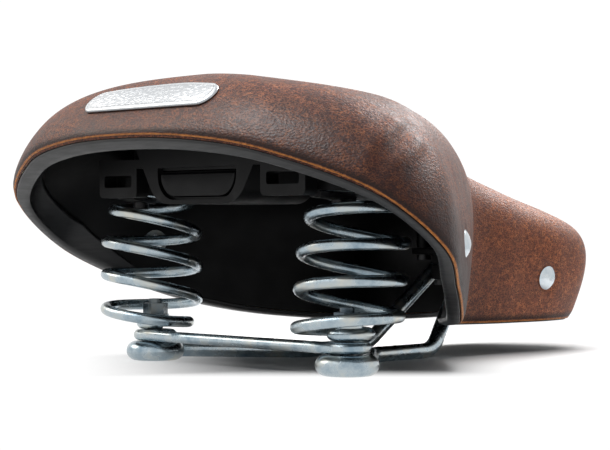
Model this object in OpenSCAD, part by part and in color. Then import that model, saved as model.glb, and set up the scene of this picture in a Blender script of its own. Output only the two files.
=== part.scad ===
// Sprung bicycle saddle: a padded, covered hood on a moulded shell, hinged at
// its nose on a bent-wire frame and carried at the rear by two coil springs.
// Millimetres, +Z up, +Y towards the nose, +X to the rider's right. The origin
// is under the middle of the saddle, on the surface that its wire feet stand on.

/* [Hood] */
// From the rear hem to the widest place of the wings
tail_l = 63; // [55:1:75]
// From the widest place of the wings to the waist
wing_l = 110; // [100:1:125]
// From the waist to the tip of the nose hem
nose_l = 114; // [105:1:130]
// Half the width over the wings
wing_half = 124; // [112:1:132]
// Half the width at the waist
waist_half = 35; // [32:1:42]
// Half the width along the nose
nose_half = 34; // [31:1:40]
// Height of the crest at the rear, above the feet
crest_h = 125.5; // [122:0.5:136]
// Height of the hem along the nose
hem_h = 15.6; // [13:0.2:20]
// Slope of the hem along the wings
hem_angle = 37.2; // [32:0.2:40]

/* [Layers] */
// Thickness of the cover
cover_t = 1.8; // [1.2:0.1:2.4]
// Thickness of the foam at the crest
foam_t = 13.5; // [9:0.5:17]
// Thickness of the foam at the hem
foam_hem_t = 1.6; // [1.2:0.1:3]
// Wall of the moulded shell
shell_t = 2.4; // [2:0.1:3.2]
// Width of the rim band round the wings
band_w = 6.1; // [5.4:0.1:8]
// Width of the rim band under the nose
nose_band_w = 4.6; // [4:0.1:6]
// Thickness of the rim band
band_t = 2.6; // [2:0.1:3.4]
// How far the rim band stands below the cover's cut edge
band_drop = 1; // [0.5:0.1:1.5]

/* [Springs] */
// Distance between the two spring axes
spring_gap = 122; // [114:1:130]
// From the rear hem to the spring axes
spring_setback = 73; // [68:1:78]
// Diameter of the spring wire
spring_wire = 5; // [4:0.1:5.6]
// Outer diameter of the coils
coil_d = 47; // [43:0.5:50]
// Outer diameter of the turn held in the seat
top_turn_d = 40; // [37:0.5:43]
// Crest down to the turn held in the seat
spring_drop = 49.5; // [48:0.1:52]
// Turns between the eye and the held turn
spring_turns = 3.94; // [3.7:0.01:4.1]
// Forward slope of the coils
coil_tilt = 7; // [4:0.5:9]

/* [Frame wires] */
// Diameter of the rail wire
rail_d = 7; // [6.6:0.1:7.4]
// Distance between the rails where the seat post grips them
rail_gap = 43; // [40:0.5:46]
// Thickness of the upset eyes that the saddle stands on
foot_t = 8.8; // [8:0.1:9.6]
// Outer diameter of those eyes
foot_d = 26.6; // [25:0.2:28]
// Height of the hinge pin, the wire's cross run in the nose
pivot_h = 43; // [41:0.5:45]
// From the spring axes to the hinge pin
pivot_reach = 139; // [135:1:143]
// Diameter of the crossbar wire
bar_d = 5; // [4.4:0.1:5.4]
// Outer diameter of the crossbar's eyes
bar_eye_d = 20; // [19:0.2:22]

/* [Fasteners] */
// Diameter of the spring bolts
bolt_d = 6; // [5:0.1:6]
// Width across flats of the spring nuts
nut_w = 10; // [9:0.5:11]
// Outer diameter of the spring washers
washer_d = 12.5; // [12:0.5:14]
// Diameter of the small screws
screw_d = 4; // [3:0.1:4.5]
// Diameter of the rivet heads
rivet_d = 11.6; // [10:0.2:14]
// Height of the rivet heads
rivet_h = 2.3; // [1.8:0.1:3.2]
// Diameter of the tubular rivet shanks
shank_d = 5; // [4:0.1:6]
// Outer diameter of the rivet washers
rivet_washer_d = 11; // [9.5:0.5:12.5]

/* [Bracket] */
// Width of the clip socket in the bracket
clip_w = 47; // [40:1:52]
// Height of the clip socket
clip_h = 10.6; // [8:0.2:12]
// Depth of the clip socket
clip_l = 34; // [28:1:38]
// Width of each strap lug
lug_w = 26; // [24:0.5:30]
// Width of the strap slot
slot_w = 19; // [16:0.5:21]
// Height of the strap slot
slot_h = 5.2; // [4:0.2:7]
// Crest down to the underside of the clip housing
housing_drop = 54.5; // [52.5:0.5:56.5]

/* [Badge] */
// Length of the badge plate
badge_l = 80; // [66:1:86]
// Thickness of the badge plate
badge_t = 1.3; // [0.8:0.1:2]

/* [Clearances] */
// Gap between pieces that lie against each other
lay_gap = 0.3; // [0.2:0.05:0.4]
// Running gap round the hinge pin
run_gap = 0.05; // [0.02:0.01:0.1]
// Gap round the sliding clip cap
slide_gap = 0.5; // [0.4:0.1:0.8]

/* [Hidden] */

// Smoothness of round pieces
$fn = 48;

// Plan outline of the hem, right half, from the rear to the nose tip: each row
// is a share of a half width and a distance forward of the rear hem
tail_end = tail_l;
waist_end = tail_l + wing_l;
hem_l = tail_l + wing_l + nose_l;
outline = [
    [0, 0],
    [0.34 * wing_half, 0.04 * tail_l],
    [0.63 * wing_half, 0.18 * tail_l],
    [0.93 * wing_half, 0.52 * tail_l],
    [wing_half, tail_end],
    [0.87 * wing_half, tail_end + 0.245 * wing_l],
    [0.71 * wing_half, tail_end + 0.48 * wing_l],
    [0.525 * wing_half, tail_end + 0.72 * wing_l],
    [waist_half, waist_end],
    [0.98 * nose_half, waist_end + 0.35 * nose_l],
    [1.01 * nose_half, waist_end + 0.66 * nose_l],
    [0.78 * nose_half, waist_end + 0.88 * nose_l],
    [0, hem_l]
];
outline_end = len(outline) - 1;

// The section from the hem to the crest, by the share of the outline passed:
// squareness of its shoulder, steepness of its rise, swell of its side
shoulder = [[0, 1.3], [0.17, 3.9], [0.33, 4.4], [0.62, 4], [1, 2.8]];
rise = [[0, 1.12], [0.17, 1.55], [0.33, 1.5], [0.62, 2.2], [1, 2.1]];
swell = [[0, 0], [0.17, -0.3], [0.33, 0.5], [0.62, 8.6], [1, 11.3]];

// Where the crest line starts and ends, from the hem's rear and tip
crest_rear = 53;
crest_tip = 3;
// Drop of the crest below its height, at even steps from the rear
crest_drop = [-6.4, 2.8, 7.4, 14.4, 31, 44.6, 56, 67.3];
crest_first = 33;
crest_step = 38.3;

// Where the hem starts to climb, how softly, and its lift at the nose tip
hem_knee = 109.4;
hem_blend = 23;
nose_lift = 21;
nose_lift_l = 28;
nose_lift_from = hem_l - 24;

// Steps round the half outline and up each side
stations = 32;
steps = 8;
row = 2 * steps + 1;

function ramp(x, k) = k * ln(1 + exp(x / k));
function clamp(x) = min(1, max(0, x));
function ease(x) = let (c = clamp(x)) c * c * (3 - 2 * c);
function unit(v) = v / norm(v);
function curve(a, b, c, d, u) =
    0.5 * (2 * b + (c - a) * u + (2 * a - 5 * b + 4 * c - d) * u * u + (3 * b - a - 3 * c + d) * u * u * u);
function slope(a, b, c, d, u) =
    0.5 * (c - a + 2 * (2 * a - 5 * b + 4 * c - d) * u + 3 * (3 * b - a - 3 * c + d) * u * u);

// Outline point and outward direction in plan, counted from the hem's rear
function outline_pt(i) =
    i < 0 ? [-outline[1].x, outline[1].y]
    : i > outline_end ? [-outline[outline_end - 1].x, outline[outline_end - 1].y]
    : outline[i];
function segment(s) = min(floor(s), outline_end - 1);
function plan(s) =
    let (i = segment(s))
    curve(outline_pt(i - 1), outline_pt(i), outline_pt(i + 1), outline_pt(i + 2), s - i);
function outward(s) =
    let (i = segment(s))
    let (t = slope(outline_pt(i - 1), outline_pt(i), outline_pt(i + 1), outline_pt(i + 2), s - i))
    unit([t.y, -t.x]);

function hem_z(s, inset = 0) =
    hem_h + tan(hem_angle) * ramp(hem_knee - (plan(s) - inset * outward(s)).y, hem_blend)
    + nose_lift * pow(clamp((plan(s).y - nose_lift_from) / nose_lift_l), 2);
function crest_row(i) =
    i < 0 ? 2 * crest_drop[0] - crest_drop[1] : crest_drop[min(i, len(crest_drop) - 1)];
function crest_z(y) =
    let (t = (y - crest_first) / crest_step, i = floor(t))
    crest_h - curve(crest_row(i - 1), crest_row(i), crest_row(i + 1), crest_row(i + 2), t - i);
function crest_y(s) = crest_rear + (hem_l - crest_tip - crest_rear) * plan(s).y / hem_l;

// Point of the hood: s runs round the outline, a from 0 at the hem to 90 at the
// crest. inset and drop move a layer in from the hem and down from the crest.
// Y counts from the rear hem here.
function hood_raw(s, a, inset = 0, drop = 0) =
    let (f = s / outline_end, o = outward(s), e = plan(s) - inset * o)
    let (yc = crest_y(s), zh = hem_z(s, inset), zc = crest_z(yc) - drop)
    let (side = pow(cos(a), 2 / lookup(f, shoulder)), up = pow(sin(a), 2 / lookup(f, rise)))
    let (out = lookup(f, swell) * sin(2 * a) * (zc - zh) / (zc - zh + drop))
    [e.x * side + o.x * out, yc + (e.y - yc) * side + o.y * out, zh + (zc - zh) * up];

// The whole saddle is set so that its length is centred on the origin
nose_reach = max([for (a = [0:3:87]) hood_raw(outline_end, a).y]);
rear_y = -nose_reach / 2;
function hood(s, a, inset = 0, drop = 0) = hood_raw(s, a, inset, drop) + [0, rear_y, 0];
function hood_normal(s, a) =
    let (e = 0.02, p = hood(s, a), q = hood(s + e, a), r = hood(s, a + 50 * e))
    unit(cross(q - p, r - p));

// Insets and drops of the layers' faces
foam_in = cover_t + lay_gap;
shell_in = foam_in + foam_hem_t + lay_gap;
shell_out = shell_in + shell_t;
foam_drop = cover_t + lay_gap;
shell_drop = foam_drop + foam_t + lay_gap;
inner_drop = shell_drop + shell_t;
band_top = band_t - band_drop;
band_slant = 1.3;
band_wall = 1;
band_gap = 0.8;
layer_lift = band_top + lay_gap + 0.1;

// Spring places and forms
spring_x = spring_gap / 2;
spring_y = rear_y + spring_setback;
bar_z = foot_t + lay_gap + bar_d / 2;
eye_z = bar_z + bar_d / 2 + lay_gap + spring_wire / 2;
eye_gap = 0.7;
eye_r = bolt_d / 2 + eye_gap + spring_wire / 2;
coil_r = (coil_d - spring_wire) / 2;
top_r = (top_turn_d - spring_wire) / 2;
lean = 0.057;
coil_out = 1;
coil_back = 1.6;
rings_per_turn = 12;
wire_sides = 6;
// Degrees of travel along the wire, counted from the cut end of the eye
eye_wrap = 155;
spiral_end = 390;
climb_from = 343;
climb_to = climb_from + 360 * spring_turns;
spring_end = climb_to + 165;
cut_angle = 345;
climb_blend = 45;
housing_h = crest_h - housing_drop;
top_z = crest_h - spring_drop;
spring_pitch = (top_z - eye_z) / spring_turns;

// Rails, hinge and nose block
rail_half = rail_gap / 2;
foot_z = foot_t / 2;
rail_z = rail_d / 2;
foot_r = (foot_d - foot_t) / 2;
foot_sweep = 268;
foot_taper = 9;
rail_in_y = spring_y + 57;
rail_up_y = spring_y + 99;
pivot_y = spring_y + pivot_reach;
leg_half = 8;
nose_bend_r = 5;
rail_bend_r = 14;
upturn_r = 16;
// Forged joints of the wire: a swelling at each end of a bend, and how far the
// straight and the bend stop short of its middle
joint_swell = 0.06;
joint_trim = 0.3;
block_half = 3.6;
block_reach = 11.5;
block_screw_y = 8;
pin_bore_r = rail_d / 2 + run_gap;
flange_gap = 1.1;
flange_z = pivot_h + rail_d / 2 + flange_gap;
flange_t = 3;
flange_half = 16;
flange_back = 12;
flange_front = 14;
nose_boss_x = 11.5;
nose_boss_back = -8;
nose_boss_front = 10;
nose_boss_r = 3.6;
cap_floor = 4;

// Bracket under the rear of the shell
plate_t = 4;
seat_t = 8;
seat_rim = 0.6;
skirt_t = 1.8;
skirt_from = -160;
skirt_to = 10;
plate_z = top_z + spring_wire / 2 + lay_gap + seat_t;
plate_half = spring_x + 5;
plate_rear = spring_y - 29;
plate_front = spring_y + 25;
housing_rear = spring_y - 29;
housing_front = spring_y + 13;
housing_half = 41;
housing_rise = 6;
housing_low = 18;
housing_corner = 14;
lug_x = 52.5;
lug_t = 7;
lug_floor = 4.6;
lug_rear = spring_y - 29;
lug_z = housing_h + 3;
lug_corner = 2.4;
clip_z = housing_h + 3.4;
clip_corner = 9;
mouth = 1.6;
mouth_l = 2.4;
cap_face = 0.5;
boss_places = [[47, spring_y - 18], [36, spring_y + 18.4]];
boss_r = 4.6;
keeper_w = 9;
keeper_t = 2;
keeper_angle = -75;
keeper_in = 3;
keeper_screw_r = 8;

// Rivets: places on the hood as outline share and section angle, and their washers' gap to the shell
rivet_places = [[5.45, 18.7, 0.8], [9.66, 18.6, 3.9]];
rivet_washer_t = 1;
shank_gap = 0.4;
// Looser holes in the foam
foam_hole_gap = 1.1;
roll_h = 1.2;
roll_r = shank_d / 2 + 1.1;
shank_hole = shank_d / 2 - 0.8;

// Badge: heights of its lower and upper edges on the rear of the hood
badge_low = crest_h - 16.5;
badge_high = crest_h - 4.7;
badge_fall = 2.2;
badge_shift = 3;
badge_cols = 12;
badge_rows = 6;
badge_round = 0.16;

// Colours
leather = [0.27, 0.17, 0.13];
foam_colour = [0.80, 0.76, 0.62];
black_plastic = [0.06, 0.06, 0.07];
band_grey = [0.20, 0.20, 0.21];
zinc = [0.68, 0.71, 0.74];
bright = [0.86, 0.87, 0.88];

// Layers of the hood
// Section angle of a row, and the angle at which a layer starts that stands up
// from the hem line by a lift
first_row = 14;
least_step = 4;
function row_angle(j, start) =
    let (k = steps - abs(j), even = first_row + (90 - first_row) * (k - 1) / (steps - 1))
    k == 0 ? start : max(even, start + least_step * k);
function start_angle(s, lift, inset, drop) =
    asin(pow(lift / (crest_z(crest_y(s)) - drop - hem_z(s, inset)), lookup(s / outline_end, rise) / 2));
function grid(inset, drop, lift) = [
    for (i = [0:stations]) for (j = [-steps:steps])
        let (s = i * outline_end / stations)
        let (p = hood(s, row_angle(j, start_angle(s, lift, inset, drop)), inset, drop))
        [sign(j) * p.x, p.y, p.z]
];
function cell(i, j) = i * row + steps + (i == 0 || i == stations ? abs(j) : j);
function skin_faces(from, flip) = [
    for (i = [0:stations - 1]) for (j = [-steps:steps - 1])
        let (a = from + cell(i, j), b = from + cell(i + 1, j))
        let (c = from + cell(i + 1, j + 1), d = from + cell(i, j + 1))
        each flip ? [[c, b, a], [d, c, a]] : [[a, b, c], [a, c, d]]
];
function hem_faces(n) = [
    for (i = [0:stations - 1])
        let (a = cell(i, steps), b = cell(i + 1, steps), c = cell(i, -steps), d = cell(i + 1, -steps))
        each [[a, b, b + n], [a, b + n, a + n], [d, c, c + n], [d, c + n, d + n]]
];

module layer(outer, inner) {
    n = len(outer);
    polyhedron(concat(outer, inner), concat(skin_faces(0, false), skin_faces(n, true), hem_faces(n)));
}

module both_sides() {
    children();
    mirror([1, 0, 0]) children();
}

// Stands children on the hood at a place, with their +Z along its outward normal
module on_hood(s, a) {
    p = hood(s, a);
    z = hood_normal(s, a);
    x = unit(cross([0, 0, 1], z));
    y = cross(z, x);
    multmatrix([[x.x, y.x, z.x, p.x], [x.y, y.y, z.y, p.y], [x.z, y.z, z.z, p.z], [0, 0, 0, 1]]) children();
}

// How deep the shell's inner face lies below the cover at a rivet
function rivet_depth(p) =
    (hood(p.x, p.y) - hood(p.x, p.y, shell_out, inner_drop)) * hood_normal(p.x, p.y);

module rivet_holes(gap = shank_gap) {
    both_sides() for (p = rivet_places) on_hood(p.x, p.y) {
        reach = rivet_depth(p) + 6;
        translate([0, 0, -reach]) cylinder(h = reach + 6, d = shank_d + 2 * gap);
    }
}

module rivet_seats() {
    both_sides() for (p = rivet_places) on_hood(p.x, p.y)
        translate([0, 0, -0.6]) cylinder(h = 6, d = rivet_d + 2 * lay_gap);
}

module cover() {
    color(leather) difference() {
        layer(grid(0, 0, 0), grid(cover_t, cover_t, 0));
        rivet_holes();
        rivet_seats();
    }
}

module foam_pad() {
    color(foam_colour) difference() {
        layer(grid(foam_in + 0.2, foam_drop + 0.2, layer_lift), grid(shell_in - lay_gap, shell_drop - lay_gap, layer_lift));
        rivet_holes(foam_hole_gap);
    }
}

// Bosses that hang from the shell, cut to its wall
module shell_bosses() {
    both_sides() {
        for (p = boss_places)
            translate([p.x, p.y, plate_z + plate_t + lay_gap]) difference() {
                cylinder(h = 60, r = boss_r);
                translate([0, 0, -1]) cylinder(h = 9, d = screw_d + 2 * lay_gap);
            }
        for (y = [nose_boss_back, nose_boss_front])
            translate([nose_boss_x, pivot_y + y, flange_z + flange_t + lay_gap])
                cylinder(h = 40, r = nose_boss_r);
    }
}

module base_shell() {
    wall = grid(shell_in + shell_t / 2, shell_drop + shell_t / 2, layer_lift);
    color(black_plastic) difference() {
        union() {
            layer(grid(shell_in, shell_drop, layer_lift), grid(shell_out, inner_drop, layer_lift));
            intersection() {
                shell_bosses();
                layer(wall, [for (p = wall) p - [0, 0, crest_h]]);
            }
        }
        rivet_holes();
    }
}

// The rim band covers the hem from below, rolls up inside and stands along the shell as a low wall
function band_inner(f) = lookup(f, [[0, band_w], [0.5, band_w], [0.68, nose_band_w], [1, nose_band_w]]);
function band_rise(f) = lookup(f, [[0, 5], [0.12, 10], [0.36, 13], [0.43, 6], [0.5, 1.6], [1, 1.6]]);
function strip_pt(s, inset, lift) =
    let (p = plan(s) - inset * outward(s)) [p.x, p.y + rear_y, hem_z(s, inset) + lift];
function wall_pt(s, inset, lift, drop) =
    lift < 2 ? strip_pt(s, inset, lift) : hood(s, start_angle(s, lift, inset, drop), inset, drop);
function band_ring(s) =
    let (f = s / outline_end, in = foam_in + band_inner(f), out = in - band_wall, h = band_rise(f))
    let (d = inner_drop + band_gap, mid = (h + 0.8) / 2)
    [
        strip_pt(s, foam_in, band_top - band_slant), strip_pt(s, foam_in, -band_drop),
        strip_pt(s, foam_in + 0.5 * band_inner(f), -band_drop), strip_pt(s, foam_in + 0.85 * band_inner(f), -0.4),
        strip_pt(s, in, 0.8), wall_pt(s, in, mid, d + band_wall), wall_pt(s, in, h, d + band_wall),
        wall_pt(s, out, h, d), wall_pt(s, out, mid, d), strip_pt(s, out, 0.8)
    ];

module rim_band() {
    n = 2 * stations;
    k = len(band_ring(0));
    pts = [
        for (i = [0:n - 1])
            let (j = i <= stations ? i : n - i)
            for (p = band_ring(j * outline_end / stations)) [i <= stations ? p.x : -p.x, p.y, p.z]
    ];
    faces = [
        for (i = [0:n - 1]) for (r = [0:k - 1])
            let (a = k * i + r, b = k * i + (r + 1) % k)
            let (c = k * ((i + 1) % n) + (r + 1) % k, d = k * ((i + 1) % n) + r)
            each [[a, c, b], [a, d, c]]
    ];
    color(band_grey) polyhedron(pts, faces);
}

// Outline place at which a line of the hood reaches a given half width, and the
// section angle at which that place reaches a given height
function outline_at(x, a, lo = 0, hi = 3, n = 14) =
    n == 0 ? (lo + hi) / 2
    : let (m = (lo + hi) / 2) hood(m, a).x < x ? outline_at(x, a, m, hi, n - 1) : outline_at(x, a, lo, m, n - 1);
function angle_at(x, z, lo = 5, hi = 86, n = 12) =
    n == 0 ? (lo + hi) / 2
    : let (m = (lo + hi) / 2)
    hood(outline_at(x, m), m).z < z ? angle_at(x, z, m, hi, n - 1) : angle_at(x, z, lo, m, n - 1);
function badge_pt(u, v, h) =
    let (end = 1 - badge_round * (1 - sqrt(max(0, 1 - pow(2 * v - 1, 2)))))
    let (x = badge_shift + u * end * badge_l / 2)
    let (z = badge_low + (badge_high - badge_fall * u * u - badge_low) * v)
    let (a = angle_at(abs(x), z), s = outline_at(abs(x), a))
    let (n = hood_normal(s, a), p = hood(s, a) + h * n)
    [sign(x) * p.x, p.y, p.z];

module badge_plate() {
    w = badge_cols + 1;
    h = badge_rows + 1;
    n = w * h;
    function id(i, j) = j * w + i;
    pts = [
        for (t = [lay_gap + badge_t, lay_gap]) for (j = [0:badge_rows]) for (i = [0:badge_cols])
            badge_pt(2 * i / badge_cols - 1, j / badge_rows, t)
    ];
    top = [
        for (j = [0:badge_rows - 1]) for (i = [0:badge_cols - 1])
            let (a = id(i, j), b = id(i, j + 1), c = id(i + 1, j + 1), d = id(i + 1, j))
            each [[a, b, c], [a, c, d], [n + c, n + b, n + a], [n + d, n + c, n + a]]
    ];
    sides = [
        for (j = [0:badge_rows - 1])
            let (a = id(0, j), b = id(0, j + 1), c = id(badge_cols, j), d = id(badge_cols, j + 1))
            each [[b, a, n + a], [b, n + a, n + b], [c, d, n + d], [c, n + d, n + c]]
    ];
    ends = [
        for (i = [0:badge_cols - 1])
            let (a = id(i, 0), b = id(i + 1, 0), c = id(i, badge_rows), d = id(i + 1, badge_rows))
            each [[a, b, n + b], [a, n + b, n + a], [d, c, n + c], [d, n + c, n + d]]
    ];
    color(bright) polyhedron(pts, concat(top, sides, ends));
}

// A tubular rivet: domed head outside, rolled end inside
module rivet(p) {
    depth = rivet_depth(p) + p.z + rivet_washer_t + lay_gap;
    ball = (pow(rivet_d / 2, 2) + rivet_h * rivet_h) / (2 * rivet_h);
    on_hood(p.x, p.y) difference() {
        union() {
            translate([0, 0, lay_gap - 0.6]) intersection() {
                translate([0, 0, rivet_h - ball]) sphere(ball);
                cylinder(h = rivet_h + 1, d = rivet_d);
            }
            translate([0, 0, -depth - roll_h]) cylinder(h = depth + roll_h, d = shank_d);
            translate([0, 0, -depth - roll_h]) cylinder(h = roll_h, r = roll_r);
        }
        translate([0, 0, -depth - roll_h - 1]) cylinder(h = 6, r = shank_hole);
    }
}

module skirt_rivets() {
    color(bright) both_sides() for (p = rivet_places) rivet(p);
}

module rivet_washers() {
    color(zinc) both_sides() for (p = rivet_places) on_hood(p.x, p.y)
        translate([0, 0, -rivet_depth(p) - p.z - rivet_washer_t]) difference() {
            cylinder(h = rivet_washer_t, d = rivet_washer_d);
            translate([0, 0, -1]) cylinder(h = rivet_washer_t + 2, d = shank_d + 2 * lay_gap);
        }
}

// Centre line of the left spring's wire after t degrees of travel from its eye
function spring_r(t) =
    eye_r + (coil_r - eye_r) * ease((t - eye_wrap) / (spiral_end - eye_wrap))
    + (top_r - coil_r) * ease((t - climb_to + 470) / 330);
function spring_pt(t) =
    let (a = cut_angle - t, r = spring_r(t))
    let (climb = ramp(t - climb_from, climb_blend) - ramp(t - climb_to, climb_blend))
    let (up = spring_pitch / 360 * climb, tilt = tan(coil_tilt) * ease((t - 300) / 300))
    let (off = ease((t - eye_wrap) / (spiral_end - eye_wrap)))
    [
        -spring_x - coil_out * off - lean * up + r * cos(a),
        spring_y - coil_back * off + lean * up + r * sin(a),
        eye_z + up - tilt * r * sin(a)
    ];
spring_rings = ceil(spring_end / 360 * rings_per_turn);
spring_line = [for (i = [0:spring_rings]) spring_pt(i * spring_end / spring_rings)];
spring_gap_least = min([
    for (i = [0:spring_rings]) for (k = [i + rings_per_turn / 2:1:spring_rings])
        norm(spring_line[i] - spring_line[k])
]) - spring_wire;
echo(least_gap_between_spring_turns = spring_gap_least);

module spring() {
    n = wire_sides;
    last = spring_rings;
    pts = [
        for (i = [0:last])
            let (t = i * spring_end / last, c = spring_pt(t), d = unit(spring_pt(t + 1) - spring_pt(t - 1)))
            let (a = cut_angle - t, r0 = [cos(a), sin(a), 0], r = unit(r0 - d * (d * r0)), u = cross(d, r))
            for (k = [0:n - 1])
                c + spring_wire / 2 * (cos(360 * k / n) * r + sin(360 * k / n) * u)
    ];
    side = [
        for (i = [0:last - 1]) for (k = [0:n - 1])
            let (a = i * n + k, b = i * n + (k + 1) % n, c = (i + 1) * n + (k + 1) % n, d = (i + 1) * n + k)
            each [[a, b, c], [a, c, d]]
    ];
    caps = [for (k = [1:n - 2]) each [[0, k + 1, k], [last * n, last * n + k, last * n + k + 1]]];
    polyhedron(pts, concat(side, caps));
}

module spring_left() {
    color(zinc) spring();
}

module spring_right() {
    color(zinc) mirror([1, 0, 0]) spring();
}

// Bent wire: straight rods between the corners, joined by round bends
module rod(p, q, r0, r1) {
    z = unit(q - p);
    x = unit(cross(abs(z.z) < 0.9 ? [0, 0, 1] : [1, 0, 0], z));
    y = cross(z, x);
    multmatrix([[x.x, y.x, z.x, p.x], [x.y, y.y, z.y, p.y], [x.z, y.z, z.z, p.z], [0, 0, 0, 1]])
        cylinder(h = norm(q - p), r1 = r0, r2 = r1);
}

function turn_of(d, e) = acos(min(1, d * e));

module bend(v, d, e, bend_r, r) {
    turn = turn_of(d, e);
    n = unit(e - d * (d * e));
    c = v - d * bend_r * tan(turn / 2) + n * bend_r;
    z = cross(-n, d);
    trim = joint_trim / bend_r * 180 / PI;
    multmatrix([[-n.x, d.x, z.x, c.x], [-n.y, d.y, z.y, c.y], [-n.z, d.z, z.z, c.z], [0, 0, 0, 1]]) {
        rotate([0, 0, trim]) rotate_extrude(angle = turn - 2 * trim) translate([bend_r, 0]) circle(r);
        for (a = [0, turn]) rotate([0, 0, a]) translate([bend_r, 0, 0]) sphere(r + joint_swell);
    }
}

module wire(pts, bends, r) {
    last = len(pts) - 1;
    dirs = [for (i = [0:last - 1]) unit(pts[i + 1] - pts[i])];
    cut = [
        for (i = [0:last])
            joint_trim + (i == 0 || i == last ? 0 : bends[i] * tan(turn_of(dirs[i - 1], dirs[i]) / 2))
    ];
    for (i = [0:last - 1])
        rod(pts[i] + dirs[i] * cut[i], pts[i + 1] - dirs[i] * cut[i + 1], r, r);
    for (i = [1:last - 1])
        bend(pts[i], dirs[i - 1], dirs[i], bends[i], r);
}

// Part of a ring that lies flat
module eye(ring_r, r, from, sweep) {
    rotate([0, 0, from]) rotate_extrude(angle = sweep) translate([ring_r, 0]) circle(r);
}

rail_corner = [rail_half, rail_in_y, rail_z];
foot_centre = [spring_x, spring_y, foot_z];
foot_to_corner = [rail_half - spring_x, rail_in_y - spring_y];
foot_leave = atan2(foot_to_corner.y, foot_to_corner.x) - acos(foot_r / norm(foot_to_corner));
foot_start = foot_centre + foot_r * [cos(foot_leave), sin(foot_leave), 0];
foot_taper_end = foot_start + foot_taper * unit(rail_corner - foot_start);
leg_top = [leg_half, pivot_y, pivot_h];

module rail_wire() {
    d = unit(rail_corner - foot_start);
    half = [foot_start + 2 * d, rail_corner, [rail_half, rail_up_y, rail_z], leg_top];
    other = [for (i = [len(half) - 1:-1:0]) [-half[i].x, half[i].y, half[i].z]];
    bends = [0, rail_bend_r, upturn_r, nose_bend_r, nose_bend_r, upturn_r, rail_bend_r, 0];
    color(zinc) {
        wire(concat(half, other), bends, rail_d / 2);
        both_sides() {
            rod(foot_start - 0.5 * d, foot_taper_end, foot_t / 2 - joint_swell, rail_d / 2 + joint_swell);
            translate(foot_centre) eye(foot_r, foot_t / 2, foot_leave - foot_sweep, foot_sweep);
        }
    }
}

module crossbar() {
    r = (bar_eye_d - bar_d) / 2;
    sweep = 284;
    color(zinc) {
        rod([-spring_x, spring_y - r, bar_z], [spring_x, spring_y - r, bar_z], bar_d / 2, bar_d / 2);
        both_sides() translate([spring_x, spring_y, bar_z]) eye(r, bar_d / 2, -90, sweep);
    }
}

// Spring bolts: a countersunk head in the throat of each foot
washer_t = 1.4;
nut_t = 5;
washer_z = eye_z + spring_wire / 2 + lay_gap;
nut_z = washer_z + washer_t;
head_r = bolt_d / 2 + 2.2;
head_z = 0.6;
head_t = 2.8;
bolt_gap = 0.15;

module each_spring() {
    both_sides() translate([spring_x, spring_y, 0]) children();
}

module spring_bolts() {
    color(zinc) each_spring() {
        translate([0, 0, head_z]) cylinder(h = head_t, r1 = head_r, r2 = bolt_d / 2 + 0.4);
        translate([0, 0, head_z]) cylinder(h = nut_z + nut_t + 2 - head_z, d = bolt_d);
    }
}

module spring_washers() {
    color(zinc) each_spring() translate([0, 0, washer_z]) difference() {
        cylinder(h = washer_t, d = washer_d);
        translate([0, 0, -1]) cylinder(h = washer_t + 2, d = bolt_d + 2 * bolt_gap);
    }
}

module spring_nuts() {
    color(zinc) each_spring() translate([0, 0, nut_z]) difference() {
        cylinder(h = nut_t, d = nut_w / cos(30), $fn = 6);
        translate([0, 0, -1]) cylinder(h = nut_t + 2, d = bolt_d + 2 * bolt_gap);
    }
}

// Outlines of the bracket, drawn across the saddle and pushed along it
function arc(c, r, from, to, n = 8) =
    [for (i = [0:n]) c + r * [cos(from + (to - from) * i / n), sin(from + (to - from) * i / n)]];

module along(y0, y1) {
    translate([0, y1, 0]) rotate([90, 0, 0]) linear_extrude(y1 - y0) children();
}

module rounded(w, h, r) {
    square([w - 2 * r, h], center = true);
    square([w, h - 2 * r], center = true);
    for (x = [-1, 1]) for (y = [-1, 1])
        translate([x * (w / 2 - r), y * (h / 2 - r)]) circle(r);
}

module bowl_outline() {
    right = arc([housing_low, housing_h + housing_corner], housing_corner, -30, -90);
    left = [for (i = [len(right) - 1:-1:0]) [-right[i].x, right[i].y]];
    top = plate_z + plate_t + housing_rise;
    polygon(concat([[housing_half, top]], right, left, [[-housing_half, top]]));
}

// Flat on top, round below, grown by g all round
module clip_outline(g) {
    half = clip_w / 2 + g;
    r = clip_corner + g;
    right = arc([half - r, clip_z + clip_corner], r, 0, -90);
    left = [for (i = [len(right) - 1:-1:0]) [-right[i].x, right[i].y]];
    top = clip_z + clip_h + g;
    polygon(concat([[half, top]], right, left, [[-half, top]]));
}

// Frame of a spring's held turn, on the right-hand side
module at_spring_top() {
    up = spring_pitch * spring_turns;
    translate([spring_x + coil_out + lean * up, spring_y - coil_back + lean * up, top_z])
        rotate([-coil_tilt, 0, 0]) children();
}

module lug() {
    top = plate_z + plate_t;
    translate([lug_x, 0, 0]) along(lug_rear, lug_rear + lug_t) difference() {
        translate([0, (lug_z + top) / 2]) rounded(lug_w, top - lug_z, lug_corner);
        translate([0, lug_z + lug_floor + slot_h / 2]) rounded(slot_w, slot_h, lug_corner / 2);
    }
}

module spring_seat() {
    spigot_r = top_r - spring_wire / 2 - 2 * lay_gap;
    at_spring_top() {
        translate([0, 0, spring_wire / 2 + lay_gap]) cylinder(h = seat_t, r = top_turn_d / 2 + seat_rim + skirt_t / 2);
        translate([0, 0, -spring_wire / 2]) cylinder(h = spring_wire + seat_t, r = spigot_r);
        rotate([0, 0, 180 - skirt_to]) rotate_extrude(angle = skirt_to - skirt_from)
            translate([top_turn_d / 2 + seat_rim, -spring_wire / 2])
                square([skirt_t, spring_wire + seat_t / 2]);
    }
}

module bracket_screw_places() {
    both_sides() for (p = boss_places) translate([p.x, p.y, plate_z]) children();
}

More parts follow.
